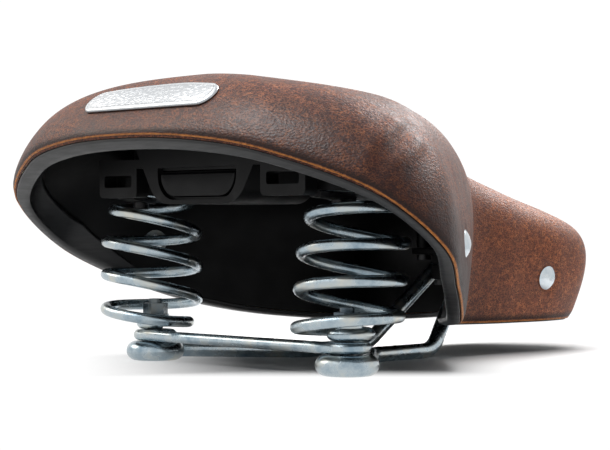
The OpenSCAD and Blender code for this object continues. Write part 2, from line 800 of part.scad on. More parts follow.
module under_bracket() {
    color(black_plastic) difference() {
        union() {
            translate([-plate_half, plate_rear, plate_z]) cube([2 * plate_half, plate_front - plate_rear, plate_t]);
            along(housing_rear, housing_front) bowl_outline();
            both_sides() {
                lug();
                spring_seat();
            }
        }
        along(housing_rear - 1, housing_rear + cap_face + clip_l + slide_gap) clip_outline(slide_gap);
        along(housing_rear - 1, housing_rear + mouth_l) clip_outline(mouth);
        bracket_screw_places() translate([0, 0, -1]) cylinder(h = plate_t + 2, d = screw_d + 2 * lay_gap);
        both_sides() at_spring_top() rotate([0, 0, 180 - keeper_angle]) translate([keeper_screw_r, 0, -20])
            cylinder(h = 28, d = screw_d + 2 * lay_gap);
    }
}

// Pan-head screw that points up, with the underside of its head at z = 0
module screw(l) {
    translate([0, 0, -0.6 * screw_d]) cylinder(h = 0.6 * screw_d, r = 0.9 * screw_d);
    cylinder(h = l, d = screw_d);
}

module bracket_screws() {
    color(zinc) bracket_screw_places() translate([0, 0, -lay_gap]) screw(plate_t + 6);
}

module spring_keepers() {
    color(black_plastic) both_sides() at_spring_top() rotate([0, 0, 180 - keeper_angle])
        translate([keeper_in, -keeper_w / 2, -spring_wire / 2 - lay_gap - keeper_t]) difference() {
            cube([top_turn_d / 2 - keeper_in, keeper_w, keeper_t]);
            translate([keeper_screw_r - keeper_in, keeper_w / 2, -1])
                cylinder(h = keeper_t + 2, d = screw_d + 2 * lay_gap);
        }
}

module keeper_screws() {
    color(zinc) both_sides() at_spring_top() rotate([0, 0, 180 - keeper_angle])
        translate([keeper_screw_r, 0, -spring_wire / 2 - 2 * lay_gap - keeper_t]) screw(10);
}

module clip_cap() {
    y0 = housing_rear + cap_face;
    color(black_plastic) difference() {
        along(y0, y0 + clip_l) clip_outline(0);
        translate([0, y0 - 0.3, clip_z + clip_h + 0.2]) rotate([0, 90, 0])
            cylinder(h = 2 * clip_w, r = 1.5, center = true);
    }
}

// Nose block and cap: the two halves of the bearing on the hinge pin
module nose_pin_bore() {
    translate([0, pivot_y, pivot_h]) rotate([0, 90, 0]) cylinder(h = 4 * block_half, r = pin_bore_r, center = true);
}

module nose_block_places() {
    both_sides() for (y = [nose_boss_back, nose_boss_front])
        translate([nose_boss_x, pivot_y + y, flange_z]) children();
}

module nose_cap_places() {
    for (y = [-block_screw_y, block_screw_y])
        translate([0, pivot_y + y, pivot_h - rail_d / 2 - cap_floor]) children();
}

module nose_block() {
    color(black_plastic) difference() {
        union() {
            translate([-flange_half, pivot_y - flange_back, flange_z])
                cube([2 * flange_half, flange_back + flange_front, flange_t]);
            translate([-block_half, pivot_y - block_reach, pivot_h])
                cube([2 * block_half, 2 * block_reach, flange_z + flange_t - pivot_h]);
        }
        nose_pin_bore();
        nose_block_places() translate([0, 0, -1]) cylinder(h = flange_t + 2, d = screw_d + 2 * lay_gap);
        nose_cap_places() cylinder(h = 16, d = screw_d + 2 * lay_gap);
    }
}

module nose_block_screws() {
    color(zinc) nose_block_places() translate([0, 0, -lay_gap]) screw(flange_t);
}

module nose_cap() {
    low = pivot_h - rail_d / 2 - cap_floor;
    color(black_plastic) difference() {
        translate([-block_half, pivot_y - block_reach, low])
            cube([2 * block_half, 2 * block_reach, pivot_h - lay_gap - low]);
        nose_pin_bore();
        nose_cap_places() translate([0, 0, -1]) cylinder(h = 16, d = screw_d + 2 * lay_gap);
    }
}

module nose_cap_screws() {
    color(zinc) nose_cap_places() translate([0, 0, -lay_gap]) screw(14);
}

cover();
foam_pad();
base_shell();
rim_band();
badge_plate();
skirt_rivets();
rivet_washers();
spring_left();
spring_right();
rail_wire();
crossbar();
spring_bolts();
spring_washers();
spring_nuts();
under_bracket();
bracket_screws();
spring_keepers();
keeper_screws();
clip_cap();
nose_block();
nose_block_screws();
nose_cap();
nose_cap_screws();
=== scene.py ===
"""Looks of a sprung bicycle saddle: its soft and wound pieces, its materials and its stage."""

import functools
import math
from types import SimpleNamespace

import bpy
import numpy as np
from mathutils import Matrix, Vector


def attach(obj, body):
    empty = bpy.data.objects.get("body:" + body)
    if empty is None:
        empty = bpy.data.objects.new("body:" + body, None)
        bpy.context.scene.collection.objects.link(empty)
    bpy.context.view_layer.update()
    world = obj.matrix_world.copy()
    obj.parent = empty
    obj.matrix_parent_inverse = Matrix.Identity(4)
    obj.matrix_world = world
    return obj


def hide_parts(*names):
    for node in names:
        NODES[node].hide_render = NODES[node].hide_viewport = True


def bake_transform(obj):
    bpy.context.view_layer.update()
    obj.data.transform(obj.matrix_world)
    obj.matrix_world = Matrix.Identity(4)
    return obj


bl_info = {
    "name": "Sprung Bicycle Saddle",
    "version": (1, 0, 0),
    "blender": (4, 5, 0),
    "location": "View3D > Sidebar > Saddle",
    "description": "Builds the soft and wound pieces of a sprung saddle, its materials and its stage",
    "category": "Object",
}

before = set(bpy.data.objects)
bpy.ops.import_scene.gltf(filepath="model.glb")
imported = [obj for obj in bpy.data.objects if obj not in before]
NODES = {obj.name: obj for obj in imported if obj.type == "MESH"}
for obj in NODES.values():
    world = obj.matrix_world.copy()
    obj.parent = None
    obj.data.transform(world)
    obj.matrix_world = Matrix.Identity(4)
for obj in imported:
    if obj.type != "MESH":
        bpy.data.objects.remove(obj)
MM = 0.001


def colour(code):
    """Linear colour from an sRGB hex code."""
    values = [int(code[i : i + 2], 16) / 255 for i in (1, 3, 5)]
    linear = [v / 12.92 if v <= 0.04045 else ((v + 0.055) / 1.055) ** 2.4 for v in values]
    return (*linear, 1.0)


def length(name, description, default, low, high):
    """A size that a user can change, written here in millimetres."""
    limits = {"default": default * MM, "min": low * MM, "max": high * MM}
    return bpy.props.FloatProperty(
        name=name, description=description, subtype="DISTANCE", unit="LENGTH", precision=4, **limits
    )


def angle(name, description, default, low, high):
    """An angle that a user can change, written here in degrees."""
    limits = {"default": math.radians(default), "min": math.radians(low), "max": math.radians(high)}
    return bpy.props.FloatProperty(name=name, description=description, subtype="ANGLE", **limits)


def paint(name, description, code):
    """A colour that a user can change, written here as an sRGB hex code."""
    return bpy.props.FloatVectorProperty(
        name=name, description=description, default=colour(code), min=0, max=1, size=4, subtype="COLOR"
    )


class HoodSettings(bpy.types.PropertyGroup):
    """Sizes of the padded hood"""

    tail_l: length("Tail", "Rear hem to the widest place", 63, 55, 75)
    wing_l: length("Wings", "Widest place to the waist", 110, 100, 125)
    nose_l: length("Nose", "Waist to the nose tip", 114, 105, 130)
    wing_half: length("Half width", "Half width over the wings", 124, 112, 132)
    waist_half: length("Waist", "Half width at the waist", 35, 32, 42)
    nose_half: length("Nose half width", "Half width along the nose", 34, 31, 40)
    crest_h: length("Crest", "Height of the crest at the rear", 125.5, 122, 136)
    hem_h: length("Hem", "Height of the hem along the nose", 15.6, 13, 20)
    hem_angle: angle("Hem slope", "Slope of the hem along the wings", 37.2, 32, 40)
    cover_t: length("Cover", "Thickness of the cover", 1.8, 1.2, 2.4)
    foam_t: length("Foam", "Thickness of the foam at the crest", 13.5, 9, 17)
    foam_hem_t: length("Foam at hem", "Thickness of the foam at the hem", 1.6, 1.2, 3)
    shell_t: length("Shell", "Thickness of the shell", 2.4, 2, 3.2)
    band_w: length("Band", "Width of the rim band round the wings", 6.1, 5.4, 8)
    nose_band_w: length("Nose band", "Width of the rim band under the nose", 4.6, 4, 6)
    lay_gap: length("Gap", "Gap between layers", 0.3, 0.2, 0.4)


class SpringSettings(bpy.types.PropertyGroup):
    """Sizes of the coil springs"""

    gap: length("Spacing", "Distance between the spring axes", 122, 114, 130)
    setback: length("Setback", "Rear hem to the spring axes", 73, 68, 78)
    wire: length("Wire", "Diameter of the spring wire", 5, 4, 5.6)
    coil_d: length("Coil", "Outer diameter of the coils", 47, 43, 50)
    top_d: length("Held turn", "Outer diameter of the turn held in the seat", 40, 37, 43)
    pitch: length("Pitch", "Rise of each turn", 15, 14, 15.6)
    turns: bpy.props.FloatProperty(
        name="Turns", description="Turns between the eye and the held turn", default=3.94, min=3.7, max=4.1
    )
    eye_z: length("Eye height", "Height of the eye's wire", 16.9, 14, 20)
    tilt: angle("Tilt", "Forward slope of the coils", 7, 4, 9)


class ColourSettings(bpy.types.PropertyGroup):
    """Main colours of the materials"""

    leather_dark: paint("Leather, dark", "Darker brown of the cover", "#2d1a18")
    leather_light: paint("Leather, light", "Lighter brown of the cover", "#432622")
    leather_nose: paint("Leather, nose", "Rubbed brown of the nose", "#6e4030")
    rust_dark: paint("Cracks, dark", "Darker rust of the cover's cracks", "#96543a")
    rust_light: paint("Cracks, light", "Lighter rust of the cover's cracks", "#c97f50")
    edge_dark: paint("Cut edge, dark", "Darker tan of the cut edge", "#7c4a22")
    edge_light: paint("Cut edge, light", "Lighter tan of the cut edge", "#b87538")
    band_dark: paint("Band, dark", "Darker grey of the rim band", "#0f0f11")
    band_light: paint("Band, light", "Lighter grey of the rim band", "#1a1a1c")
    shell: paint("Shell", "Black of the shell", "#020203")
    moulding: paint("Mouldings", "Black of the bracket and the nose bearing", "#070708")
    zinc_cool: paint("Zinc, cool", "Blue clouds of the bright zinc", "#8497a3")
    zinc_middle: paint("Zinc, middle", "Grey of the bright zinc", "#aab6bc")
    zinc_warm: paint("Zinc, warm", "Straw clouds of the bright zinc", "#c4c3b9")
    rivets: paint("Rivets", "Bright metal of the rivets", "#c6cccf")
    badge: paint("Badge", "Bright metal of the badge plate", "#a6a9ac")


def in_mm(group):
    """A group's sizes in millimetres, with its other values as they are."""
    values = {}
    for name in type(group).__annotations__:
        scale = 1 / MM if group.bl_rna.properties[name].unit == "LENGTH" else 1
        values[name] = getattr(group, name) * scale
    return SimpleNamespace(**values)


def ease(x):
    """Smooth step from 0 to 1."""
    c = np.clip(x, 0, 1)
    return c * c * (3 - 2 * c)


def ramp(x, k):
    """Zero, then a straight climb, with a soft knee of width k."""
    return k * np.logaddexp(0, x / k)


def table(x, rows):
    """Straight interpolation in a small table of pairs."""
    return np.interp(x, [r[0] for r in rows], [r[1] for r in rows])


def through(a, b, c, d, u):
    """Place on a smooth curve from b to c with neighbours a and d, at u from 0 to 1, and its slope."""
    q, r = 2 * a - 5 * b + 4 * c - d, 3 * b - a - 3 * c + d
    place = 0.5 * (2 * b + (c - a) * u + q * u**2 + r * u**3)
    return place, 0.5 * (c - a + 2 * q * u + 3 * r * u**2)


def unit(vectors):
    """Vectors scaled to length 1."""
    return vectors / np.maximum(np.linalg.norm(vectors, axis=-1, keepdims=True), 1e-9)


class Hood:
    """The hood's surface in millimetres. s runs round the half outline from the rear (0) to the nose tip,
    and a up each section from the hem (0) to the crest (90 degrees)."""

    # Half outline: shares of the stretch's half width and length along the tail, the wing and the nose
    TAIL = ((0.34, 0.04), (0.63, 0.18), (0.93, 0.52), (1, 1))
    WING = ((0.87, 0.245), (0.71, 0.48), (0.525, 0.72))
    NOSE = ((0.98, 0.35), (1.01, 0.66), (0.78, 0.88), (0, 1))

    # Sections at shares of the outline: fullness of the shoulder and of the rise, and swell of the side
    SHOULDER = ((0, 1.3), (0.17, 3.9), (0.33, 4.4), (0.62, 4), (1, 2.8))
    RISE = ((0, 1.12), (0.17, 1.55), (0.33, 1.5), (0.62, 2.2), (1, 2.1))
    SWELL = ((0, 0), (0.17, -0.3), (0.33, 0.5), (0.62, 8.6), (1, 11.3))

    # Rounding of the crest, and the share of the outline at each end over which the halves level out
    CREST_SOFT = ((0, 0.06), (0.3, 0.08), (0.5, 0.2), (1, 0.2))
    LEVEL_END = 0.08

    # Hem: where its slope ends and how softly, then where, over what run and how far the tip lifts
    SLOPE_END, SLOPE_KNEE = 109.4, 23
    TIP_FROM, TIP_RUN, TIP_LIFT = 24, 28, 21

    # Crest: its drops at even steps from a first place, and its ends measured in from the outline's
    CREST_DROP = (-6.4, 2.8, 7.4, 14.4, 31, 44.6, 56, 67.3)
    DROP_FROM, DROP_STEP = 33, 38.3
    CREST_REAR, CREST_SHORT = 53, 56

    # Steps up a section while its rows are spaced, more of them near the crest, and steps for a normal
    FINE, FINE_CREST, CROWDING = 240, 400, 2.4
    NORMAL_S, NORMAL_A = 0.02, 1.0

    # Search on the rear: its lowest and highest section angle, its last outline place and its halvings
    FIND_LOW, FIND_HIGH, FIND_TO, HALVINGS = 5.0, 86.0, 3.0, 26

    def __init__(self, context):
        p = in_mm(context.scene.saddle_hood)
        waist = p.tail_l + p.wing_l
        self.p, self.length = p, waist + p.nose_l
        rows = [(0, 0)]
        rows += [(x * p.wing_half, y * p.tail_l) for x, y in self.TAIL]
        rows += [(x * p.wing_half, p.tail_l + y * p.wing_l) for x, y in self.WING]
        rows += [(p.waist_half, waist)]
        rows += [(x * p.nose_half, waist + y * p.nose_l) for x, y in self.NOSE]
        self.end = len(rows) - 1
        mirrored = [(-x, y) for x, y in (rows[1], rows[-2])]
        self.rows = np.array([mirrored[0], *rows, mirrored[1]], float)
        self.rear = 0.0
        tip = self.point(np.full(30, self.end), np.arange(0, 90, 3.0))
        self.rear = -tip[:, 1].max() / 2

    def spline(self, s):
        """Outline point and its derivative."""
        i = np.clip(np.floor(s).astype(int), 0, self.end - 1)
        return through(*(self.rows[i + k] for k in range(4)), (s - i)[..., None])

    def hem(self, s, y):
        """Height of a layer's hem at an outline place, at a distance from the rear."""
        to_tip = self.spline(s)[0][..., 1] - self.length
        lift = np.clip((to_tip + self.TIP_FROM) / self.TIP_RUN, 0, 1) ** 2
        slope = math.tan(self.p.hem_angle) * ramp(self.SLOPE_END - y, self.SLOPE_KNEE)
        return self.p.hem_h + slope + self.TIP_LIFT * lift

    def crest(self, y):
        """Height of the crest at a distance from the rear."""
        first, second, last = self.CREST_DROP[0], self.CREST_DROP[1], self.CREST_DROP[-1]
        drops = np.array([2 * first - second, *self.CREST_DROP, last, last, last])
        t = (y - self.DROP_FROM) / self.DROP_STEP
        i = np.clip(np.floor(t).astype(int), 0, len(self.CREST_DROP) - 1)
        return self.p.crest_h - through(*(drops[i + k] for k in range(4)), t - i)[0]

    def share(self, s):
        """Share of the outline, level at both ends so that the halves meet smoothly on the middle plane."""
        f, w = s / self.end, self.LEVEL_END
        near = np.minimum(np.minimum(f, 1 - f), w)
        moved = w * (0.5 + 0.5 * (near / w) ** 2)
        return np.where(f < w, moved, np.where(f > 1 - w, 1 - moved, f))

    def frame(self, s, inset):
        """Outline point moved in, outward direction, and the crest's place."""
        e, t = self.spline(s)
        o = np.stack([t[..., 1], -t[..., 0]], -1)
        o /= np.linalg.norm(o, axis=-1, keepdims=True)
        yc = self.CREST_REAR + (self.length - self.CREST_SHORT) * e[..., 1] / self.length
        return e - inset * o, o, yc

    def point(self, s, a, inset=0.0, drop=0.0):
        """Point of a layer moved in from the hem and down from the crest."""
        s, a = np.broadcast_arrays(np.asarray(s, float), np.asarray(a, float))
        e, o, yc = self.frame(s, inset)
        f, cos, sin = self.share(s), np.cos(np.radians(a)), np.sin(np.radians(a))
        side = np.clip(cos, 0, 1) ** (2 / table(f, self.SHOULDER))
        up = np.clip(sin, 0, 1) ** (2 / table(f, self.RISE))
        zh, zc = self.hem(s, e[..., 1]), self.crest(yc) - drop
        out = table(f, self.SWELL) * 2 * sin * cos * (zc - zh) / (zc - zh + drop)
        soft = table(f, self.CREST_SOFT)
        drift = (1 + soft) * side**2 / (side + soft)
        x = e[..., 0] * side + o[..., 0] * out
        y = yc + (e[..., 1] - yc) * drift + o[..., 1] * out + self.rear
        return np.stack([x, y, zh + (zc - zh) * up], -1)

    def start(self, s, lift, inset, drop):
        """Section angle at which a layer stands a given lift above the hem line."""
        e, _, yc = self.frame(s, inset)
        part = lift / (self.crest(yc) - drop - self.hem(s, e[..., 1]))
        return np.degrees(np.arcsin(part ** (table(self.share(s), self.RISE) / 2)))

    def rows_of(self, s, count, inset=0.0, drop=0.0, lift=0.0):
        """Evenly spaced points of each section from crest to hem, and their distance from the hem."""
        s = np.asarray(s, float)[:, None]
        near_crest = np.arccos(np.linspace(0, 1, self.FINE_CREST) ** self.CROWDING) / (math.pi / 2)
        fine = np.sort(np.concatenate([np.linspace(0, 1, self.FINE), near_crest]))[::-1]
        low = self.start(s, lift, inset, drop) if lift else np.zeros_like(s)
        a = low + (90 - low) * fine[None, :]
        steps = np.linalg.norm(np.diff(self.point(s, a, inset, drop), axis=1), axis=2)
        run = np.concatenate([np.zeros((len(s), 1)), np.cumsum(steps, 1)], 1)
        want = np.linspace(0, 1, count + 1)
        angles = np.stack([np.interp(want * r[-1], r, row) for r, row in zip(run, a)])
        return self.point(s, angles, inset, drop), run[:, -1:] * (1 - want[None, :])

    def normal(self, s, a):
        """Outward normal."""
        p = self.point(s, a)
        along, up = self.point(s + self.NORMAL_S, a) - p, self.point(s, a + self.NORMAL_A) - p
        return unit(np.cross(along, up))

    def find(self, x, z):
        """Outline place and section angle of points on the rear, from half width and height, by halving."""
        low_a, high_a = np.full(x.shape, self.FIND_LOW), np.full(x.shape, self.FIND_HIGH)
        for _ in range(self.HALVINGS):
            a = (low_a + high_a) / 2
            low_s, high_s = np.zeros(x.shape), np.full(x.shape, self.FIND_TO)
            for _ in range(self.HALVINGS):
                s = (low_s + high_s) / 2
                short = self.point(s, a)[..., 0] < x
                low_s, high_s = np.where(short, s, low_s), np.where(short, high_s, s)
            low = self.point(s, a)[..., 2] < z
            low_a, high_a = np.where(low, a, low_a), np.where(low, high_a, a)
        return s, a


def off_line(points, line):
    """Distance of points from a line of straight runs, and how far along it they lie, from 0 to 1."""
    line = np.asarray(line, float)
    best, place = np.full(points.shape[:-1], np.inf), np.zeros(points.shape[:-1])
    for i, (a, b) in enumerate(zip(line[:-1], line[1:])):
        t = np.clip(((points - a) @ (b - a)) / ((b - a) @ (b - a)), 0, 1)
        away = np.linalg.norm(points - a - t[..., None] * (b - a), axis=-1)
        place = np.where(away < best, (i + t) / (len(line) - 1), place)
        best = np.minimum(best, away)
    return best, place


def make_object(name, points, faces, material, caps=()):
    """A smooth mesh object from points in millimetres, quads and flat caps, and the points it uses."""
    used, where = np.unique(np.asarray(faces), return_inverse=True)
    mesh = bpy.data.meshes.new(name)
    ends = [np.searchsorted(used, c).tolist() for c in caps]
    mesh.from_pydata((points[used] * MM).tolist(), [], where.reshape(np.shape(faces)).tolist() + ends)
    mesh.materials.append(material)
    mesh.polygons.foreach_set("use_smooth", np.ones(len(mesh.polygons), bool))
    mesh.update()
    obj = bpy.data.objects.new(name, mesh)
    bpy.context.scene.collection.objects.link(obj)
    return obj, used


def add_values(obj, name, values):
    """A number for each vertex, for the material to read."""
    layer = obj.data.attributes.new(name, "FLOAT", "POINT")
    layer.data.foreach_set("value", np.asarray(values, np.float32))


def mirror_solid(half):
    """Closed solid from the right half's sections, whose first and last columns lie on the middle plane."""
    stations, k = half.shape[:2]
    columns = 2 * k - 2
    source = np.array([c if c < k else columns - c for c in range(columns)])
    points = half[:, source].copy()
    points[:, k:, 0] *= -1
    ids = np.arange(stations * columns).reshape(stations, columns)
    ids[0], ids[-1] = ids[0, source], ids[-1, source]
    right = np.roll(ids, -1, axis=1)
    faces = np.stack([ids[:-1], right[:-1], right[1:], ids[1:]], -1).reshape(-1, 4)
    return points.reshape(-1, 3), faces, source


def sweep(lines, closed_along):
    """Tube from rings of points: lines[i] is the ring at station i."""
    n, m = lines.shape[:2]
    ids = np.arange(n * m).reshape(n, m)
    step = np.roll(ids, -1, axis=0) if closed_along else ids[1:]
    base = ids if closed_along else ids[:-1]
    faces = np.stack([base, np.roll(base, -1, axis=1), np.roll(step, -1, axis=1), step], -1)
    return lines.reshape(-1, 3), faces.reshape(-1, 4)


NOISE, CELLS = "ShaderNodeTexNoise", "ShaderNodeTexVoronoi"
SURFACE, OUTPUT = "ShaderNodeBsdfPrincipled", "ShaderNodeOutputMaterial"
COORDINATES, MAPPING, ATTRIBUTE = "ShaderNodeTexCoord", "ShaderNodeMapping", "ShaderNodeAttribute"
MATH, VECTOR, RANGE = "ShaderNodeMath", "ShaderNodeVectorMath", "ShaderNodeMapRange"
RAMP, MIX, BUMP = "ShaderNodeValToRGB", "ShaderNodeMix", "ShaderNodeBump"
SOFT = {"interpolation_type": "SMOOTHSTEP"}
TINTS = {"data_type": "RGBA", "out": "Result"}
TIMES, TIMES_PLUS = {"operation": "MULTIPLY"}, {"operation": "MULTIPLY_ADD"}


def add(tree, kind, inputs=(), out=0, stops=(), **settings):
    """Adds a node and gives one of its outputs. Inputs are constants or sockets, by name or in the node's
    order, and stops are the places and colours of a colour ramp."""
    node = tree.nodes.new(kind)
    for key, value in settings.items():
        setattr(node, key, value)
    for key, value in inputs.items() if isinstance(inputs, dict) else enumerate(inputs):
        if isinstance(value, bpy.types.NodeSocket):
            tree.links.new(value, node.inputs[key])
        else:
            node.inputs[key].default_value = value
    for i, (place, tint) in enumerate(stops):
        stop = node.color_ramp.elements[i] if i < 2 else node.color_ramp.elements.new(place)
        stop.position, stop.color = place, tint
    return node.outputs[out] if len(node.outputs) else None


def scaled(vector, size, **inputs):
    """Inputs of a pattern whose marks are about size millimetres."""
    return {"Vector": vector, "Scale": 1 / size, **inputs}


def made(name, build, *choices):
    """A material whose surface comes from a function, which gets the adder of its nodes, object coordinates
    in millimetres and its choices. One of that name is made anew."""
    material = bpy.data.materials.get(name) or bpy.data.materials.new(name)
    material.use_nodes = True
    material.node_tree.nodes.clear()
    node = functools.partial(add, material.node_tree)
    place = node(MAPPING, {"Vector": node(COORDINATES, out="Object"), "Scale": (1 / MM,) * 3})
    node(OUTPUT, {"Surface": build(node, place, *choices)})
    return material


def leatherette(node, p, c):
    """Distressed leatherette: pebbled grain, rusty cracks in short level strokes, a satin sheen and a raw
    tan cut edge. Its pores, too fine to show at a real size, are drawn at 0.55 mm."""
    cloud_mm, patch_mm, swell_mm, grain_mm, pore_mm = 30, 7, 7, 1.0, 0.55
    crack_mm, wind_mm, break_mm, bend_mm, rust_mm, edge_mm = 1.2, 1.5, 2.0, 2.4, 3, 2.2

    # Clouds and patches of colour and wear, stronger along the nose
    along = node("ShaderNodeSeparateXYZ", (p,), out="Y")
    nose = node(RANGE, (along, -40, 90), **SOFT)
    cloud = node(NOISE, scaled(p, cloud_mm, Detail=3, Roughness=0.55))
    turned = node(MAPPING, {"Vector": p, "Rotation": (0.6, 0.3, 0.9)})
    patch = node(NOISE, scaled(turned, patch_mm, Detail=4, Roughness=0.6, Distortion=0.3))
    half = node(MATH, (cloud, 0.5), **TIMES)
    mottle = node(MATH, (patch, 0.6, half), **TIMES_PLUS)
    worn = node(RANGE, (mottle, 0.38, 0.72, 0.26, 0.74), **SOFT)
    wear = node(MATH, (nose, 0.34, worn), **TIMES_PLUS)

    # Cracks: borders of bent cells, broken up, and thin winding lines
    stir = node(NOISE, scaled(p, bend_mm), out="Color")
    level = node(MAPPING, {"Vector": p, "Scale": (0.8, 0.8, 1.2)})
    bent = node(VECTOR, (stir, (1.6, 1.6, 1.6), level), **TIMES_PLUS)
    border = node(CELLS, scaled(bent, crack_mm), feature="DISTANCE_TO_EDGE")
    vein = node(RANGE, (border, 0.02, 0.14, 1, 0), **SOFT)
    gaps = node(NOISE, scaled(bent, break_mm, Detail=3, Roughness=0.6))
    crack = node(MATH, (vein, node(RANGE, (gaps, 0.4, 0.6), **SOFT)), **TIMES)
    wind = node(NOISE, scaled(bent, wind_mm))
    off_middle = node(MATH, (node(MATH, (wind, 0.5), operation="SUBTRACT"),), operation="ABSOLUTE")
    line = node(RANGE, (off_middle, 0, 0.05, 0.8, 0), **SOFT)
    stroke = node(MATH, (crack, line), operation="MAXIMUM")
    rusted = node(MATH, (stroke, wear), use_clamp=True, **TIMES)

    # Brown face with its rust
    tone = node(MATH, (patch, 0.5, half), **TIMES_PLUS)
    base = node(RAMP, (tone,), stops=((0.3, c.leather_dark), (0.7, c.leather_light)))
    rubbed = node(MATH, (nose, 0.6), **TIMES)
    base = node(MIX, {"Factor": rubbed, "A": base, "B": c.leather_nose}, **TINTS)
    spread = node(NOISE, scaled(p, rust_mm, Detail=3))
    rust = node(RAMP, (spread,), stops=((0.3, c.rust_dark), (0.72, c.rust_light)))
    face = node(MIX, {"Factor": rusted, "A": base, "B": rust}, **TINTS)

    # Along the hem: a painted shade line just above it, painted shade on the wings' lower flanks above that,
    # and the tan cut edge under it
    hem = node(ATTRIBUTE, out="Fac", attribute_name="hem")
    outside = node(RANGE, (hem, 0.5, 0.9), **SOFT)
    # Painted shade: a dark line a few millimetres above the hem, where the hem turns in
    dark = node(MATH, (outside, node(RANGE, (hem, 1.2, 4.5, 0.85, 0), **SOFT)), **TIMES)
    face = node(MIX, {"Factor": dark, "A": face, "B": colour("#1d1310")}, **TINTS)
    # Painted shade: the wings' flanks darker towards the hem, fading up the side and towards the nose
    flank_shade_reach = node(MATH, (node(RANGE, (along, -130, -80, 0.34, 0.9), **SOFT), nose), operation="SUBTRACT")
    painted_flank_shade = node(MATH, (node(RANGE, (hem, 5, 42, 1, 0), **SOFT), flank_shade_reach), **TIMES)
    painted_flank_shade = node(MATH, (painted_flank_shade, outside), **TIMES)
    face = node(MIX, {"Factor": painted_flank_shade, "A": face, "B": colour("#221413")}, **TINTS)
    under = node(RANGE, (hem, 0.25, 0.5, 1, 0), **SOFT)
    edge = node(MATH, (under, node(RANGE, (hem, -0.9, -0.5), **SOFT)), **TIMES)
    fibre = node(NOISE, scaled(p, edge_mm, Detail=3))
    tan = node(RAMP, (fibre,), stops=((0.3, c.edge_dark), (0.7, c.edge_light)))
    face = node(MIX, {"Factor": edge, "A": face, "B": tan}, **TINTS)

    # Soft swells, with grain and pores over them
    swell = node(NOISE, scaled(p, swell_mm))
    normal = node(BUMP, {"Height": swell, "Distance": 0.3 * MM, "Strength": 0.3})
    grain = node(CELLS, scaled(bent, grain_mm, Smoothness=0.5), feature="SMOOTH_F1")
    pores = node(NOISE, scaled(p, pore_mm, Detail=3, Roughness=0.6))
    height = node(MATH, (pores, 0.35, grain), **TIMES_PLUS)
    normal = node(BUMP, {"Height": height, "Distance": 0.17 * MM, "Strength": 0.8, "Normal": normal})
    satin = node(MATH, (grain, 0.3, patch), **TIMES_PLUS)
    rough = node(RANGE, (satin, 0.3, 1.0, 0.42, 0.56), **SOFT)
    looks = {"Base Color": face, "Roughness": rough, "Normal": normal, "Specular IOR Level": 0.17}
    return node(SURFACE, looks)


def foam(node, p):
    """Open-cell polyurethane foam: pale, with fine pores and no shine."""
    tint_mm, pore_mm = 1.5, 0.9
    cloud = node(NOISE, scaled(p, tint_mm, Detail=4))
    base = node(RAMP, (cloud,), stops=((0.3, colour("#b9ad8c")), (0.7, colour("#d8cfb2"))))
    pores = node(CELLS, scaled(p, pore_mm))
    normal = node(BUMP, {"Height": pores, "Distance": 0.3 * MM, "Strength": 0.6})
    return node(SURFACE, {"Base Color": base, "Roughness": 0.95, "Normal": normal})


def band_plastic(node, p, c):
    """Moulded polypropylene of the rim: dark grey and satin, with faint level streaks and a few specks."""
    streak_mm, speck_mm, grain_mm = 1.2, 7.0, 0.8
    level = node(MAPPING, {"Vector": p, "Scale": (0.1, 0.1, 1.2)})
    streak = node(NOISE, scaled(level, streak_mm, Detail=3, Roughness=0.6))
    base = node(RAMP, (streak,), stops=((0.3, c.band_dark), (0.7, c.band_light)))
    turned = node(MAPPING, {"Vector": p, "Rotation": (0.3, 0.2, 0)})
    speck = node(CELLS, scaled(turned, speck_mm))
    speck = node(RANGE, (speck, 0.04, 0.07, 0.7, 0), **SOFT)
    base = node(MIX, {"Factor": speck, "A": base, "B": colour("#0b0b0b")}, **TINTS)
    rough = node(RANGE, (streak, 0.3, 0.7, 0.48, 0.38), **SOFT)
    grain = node(NOISE, scaled(p, grain_mm))
    normal = node(BUMP, {"Height": grain, "Distance": 0.05 * MM, "Strength": 0.4})
    looks = {"Base Color": base, "Roughness": rough, "Normal": normal, "Specular IOR Level": 0.36}
    return node(SURFACE, looks)


def black(node, p, tint, rough, grain_h, shine):
    """Black moulding or black steel: a soft reflection over a hint of texture, grain_h millimetres high."""
    cloud_mm, grain_mm = 12, 0.5
    cloud = node(NOISE, scaled(p, cloud_mm, Detail=3))
    roughness = node(RANGE, (cloud, 0.3, 0.7, rough - 0.05, rough + 0.06), **SOFT)
    grain = node(NOISE, scaled(p, grain_mm))
    normal = node(BUMP, {"Height": grain, "Distance": grain_h * MM, "Strength": 0.5})
    looks = {"Base Color": tint, "Roughness": roughness, "Normal": normal, "Specular IOR Level": shine}
    return node(SURFACE, looks)


def zinc(node, p, cool, middle, warm):
    """Zinc-plated drawn steel: a satin metal with faint clouds of blue and straw and a few small stains."""
    cloud_mm, fine_mm, stain_mm = 11, 1.2, 6.0
    cloud = node(NOISE, scaled(p, cloud_mm, Detail=3, Roughness=0.55))
    fine = node(NOISE, scaled(p, fine_mm, Detail=3, Roughness=0.6))
    most = node(MATH, (cloud, 0.85), **TIMES)
    tone = node(MATH, (fine, 0.15, most), **TIMES_PLUS)
    base = node(RAMP, (tone,), stops=((0.32, cool), (0.5, middle), (0.7, warm)))
    turned = node(MAPPING, {"Vector": p, "Rotation": (0.5, 0.1, 0.4)})
    spot = node(CELLS, scaled(turned, stain_mm))
    spot = node(RANGE, (spot, 0.03, 0.06, 0.35, 0), **SOFT)
    base = node(MIX, {"Factor": spot, "A": base, "B": colour("#5a544c")}, **TINTS)
    rough = node(RANGE, (cloud, 0.3, 0.7, 0.24, 0.31), **SOFT)
    normal = node(BUMP, {"Height": fine, "Distance": 0.015 * MM, "Strength": 0.2})
    return node(SURFACE, {"Base Color": base, "Metallic": 1.0, "Roughness": rough, "Normal": normal})


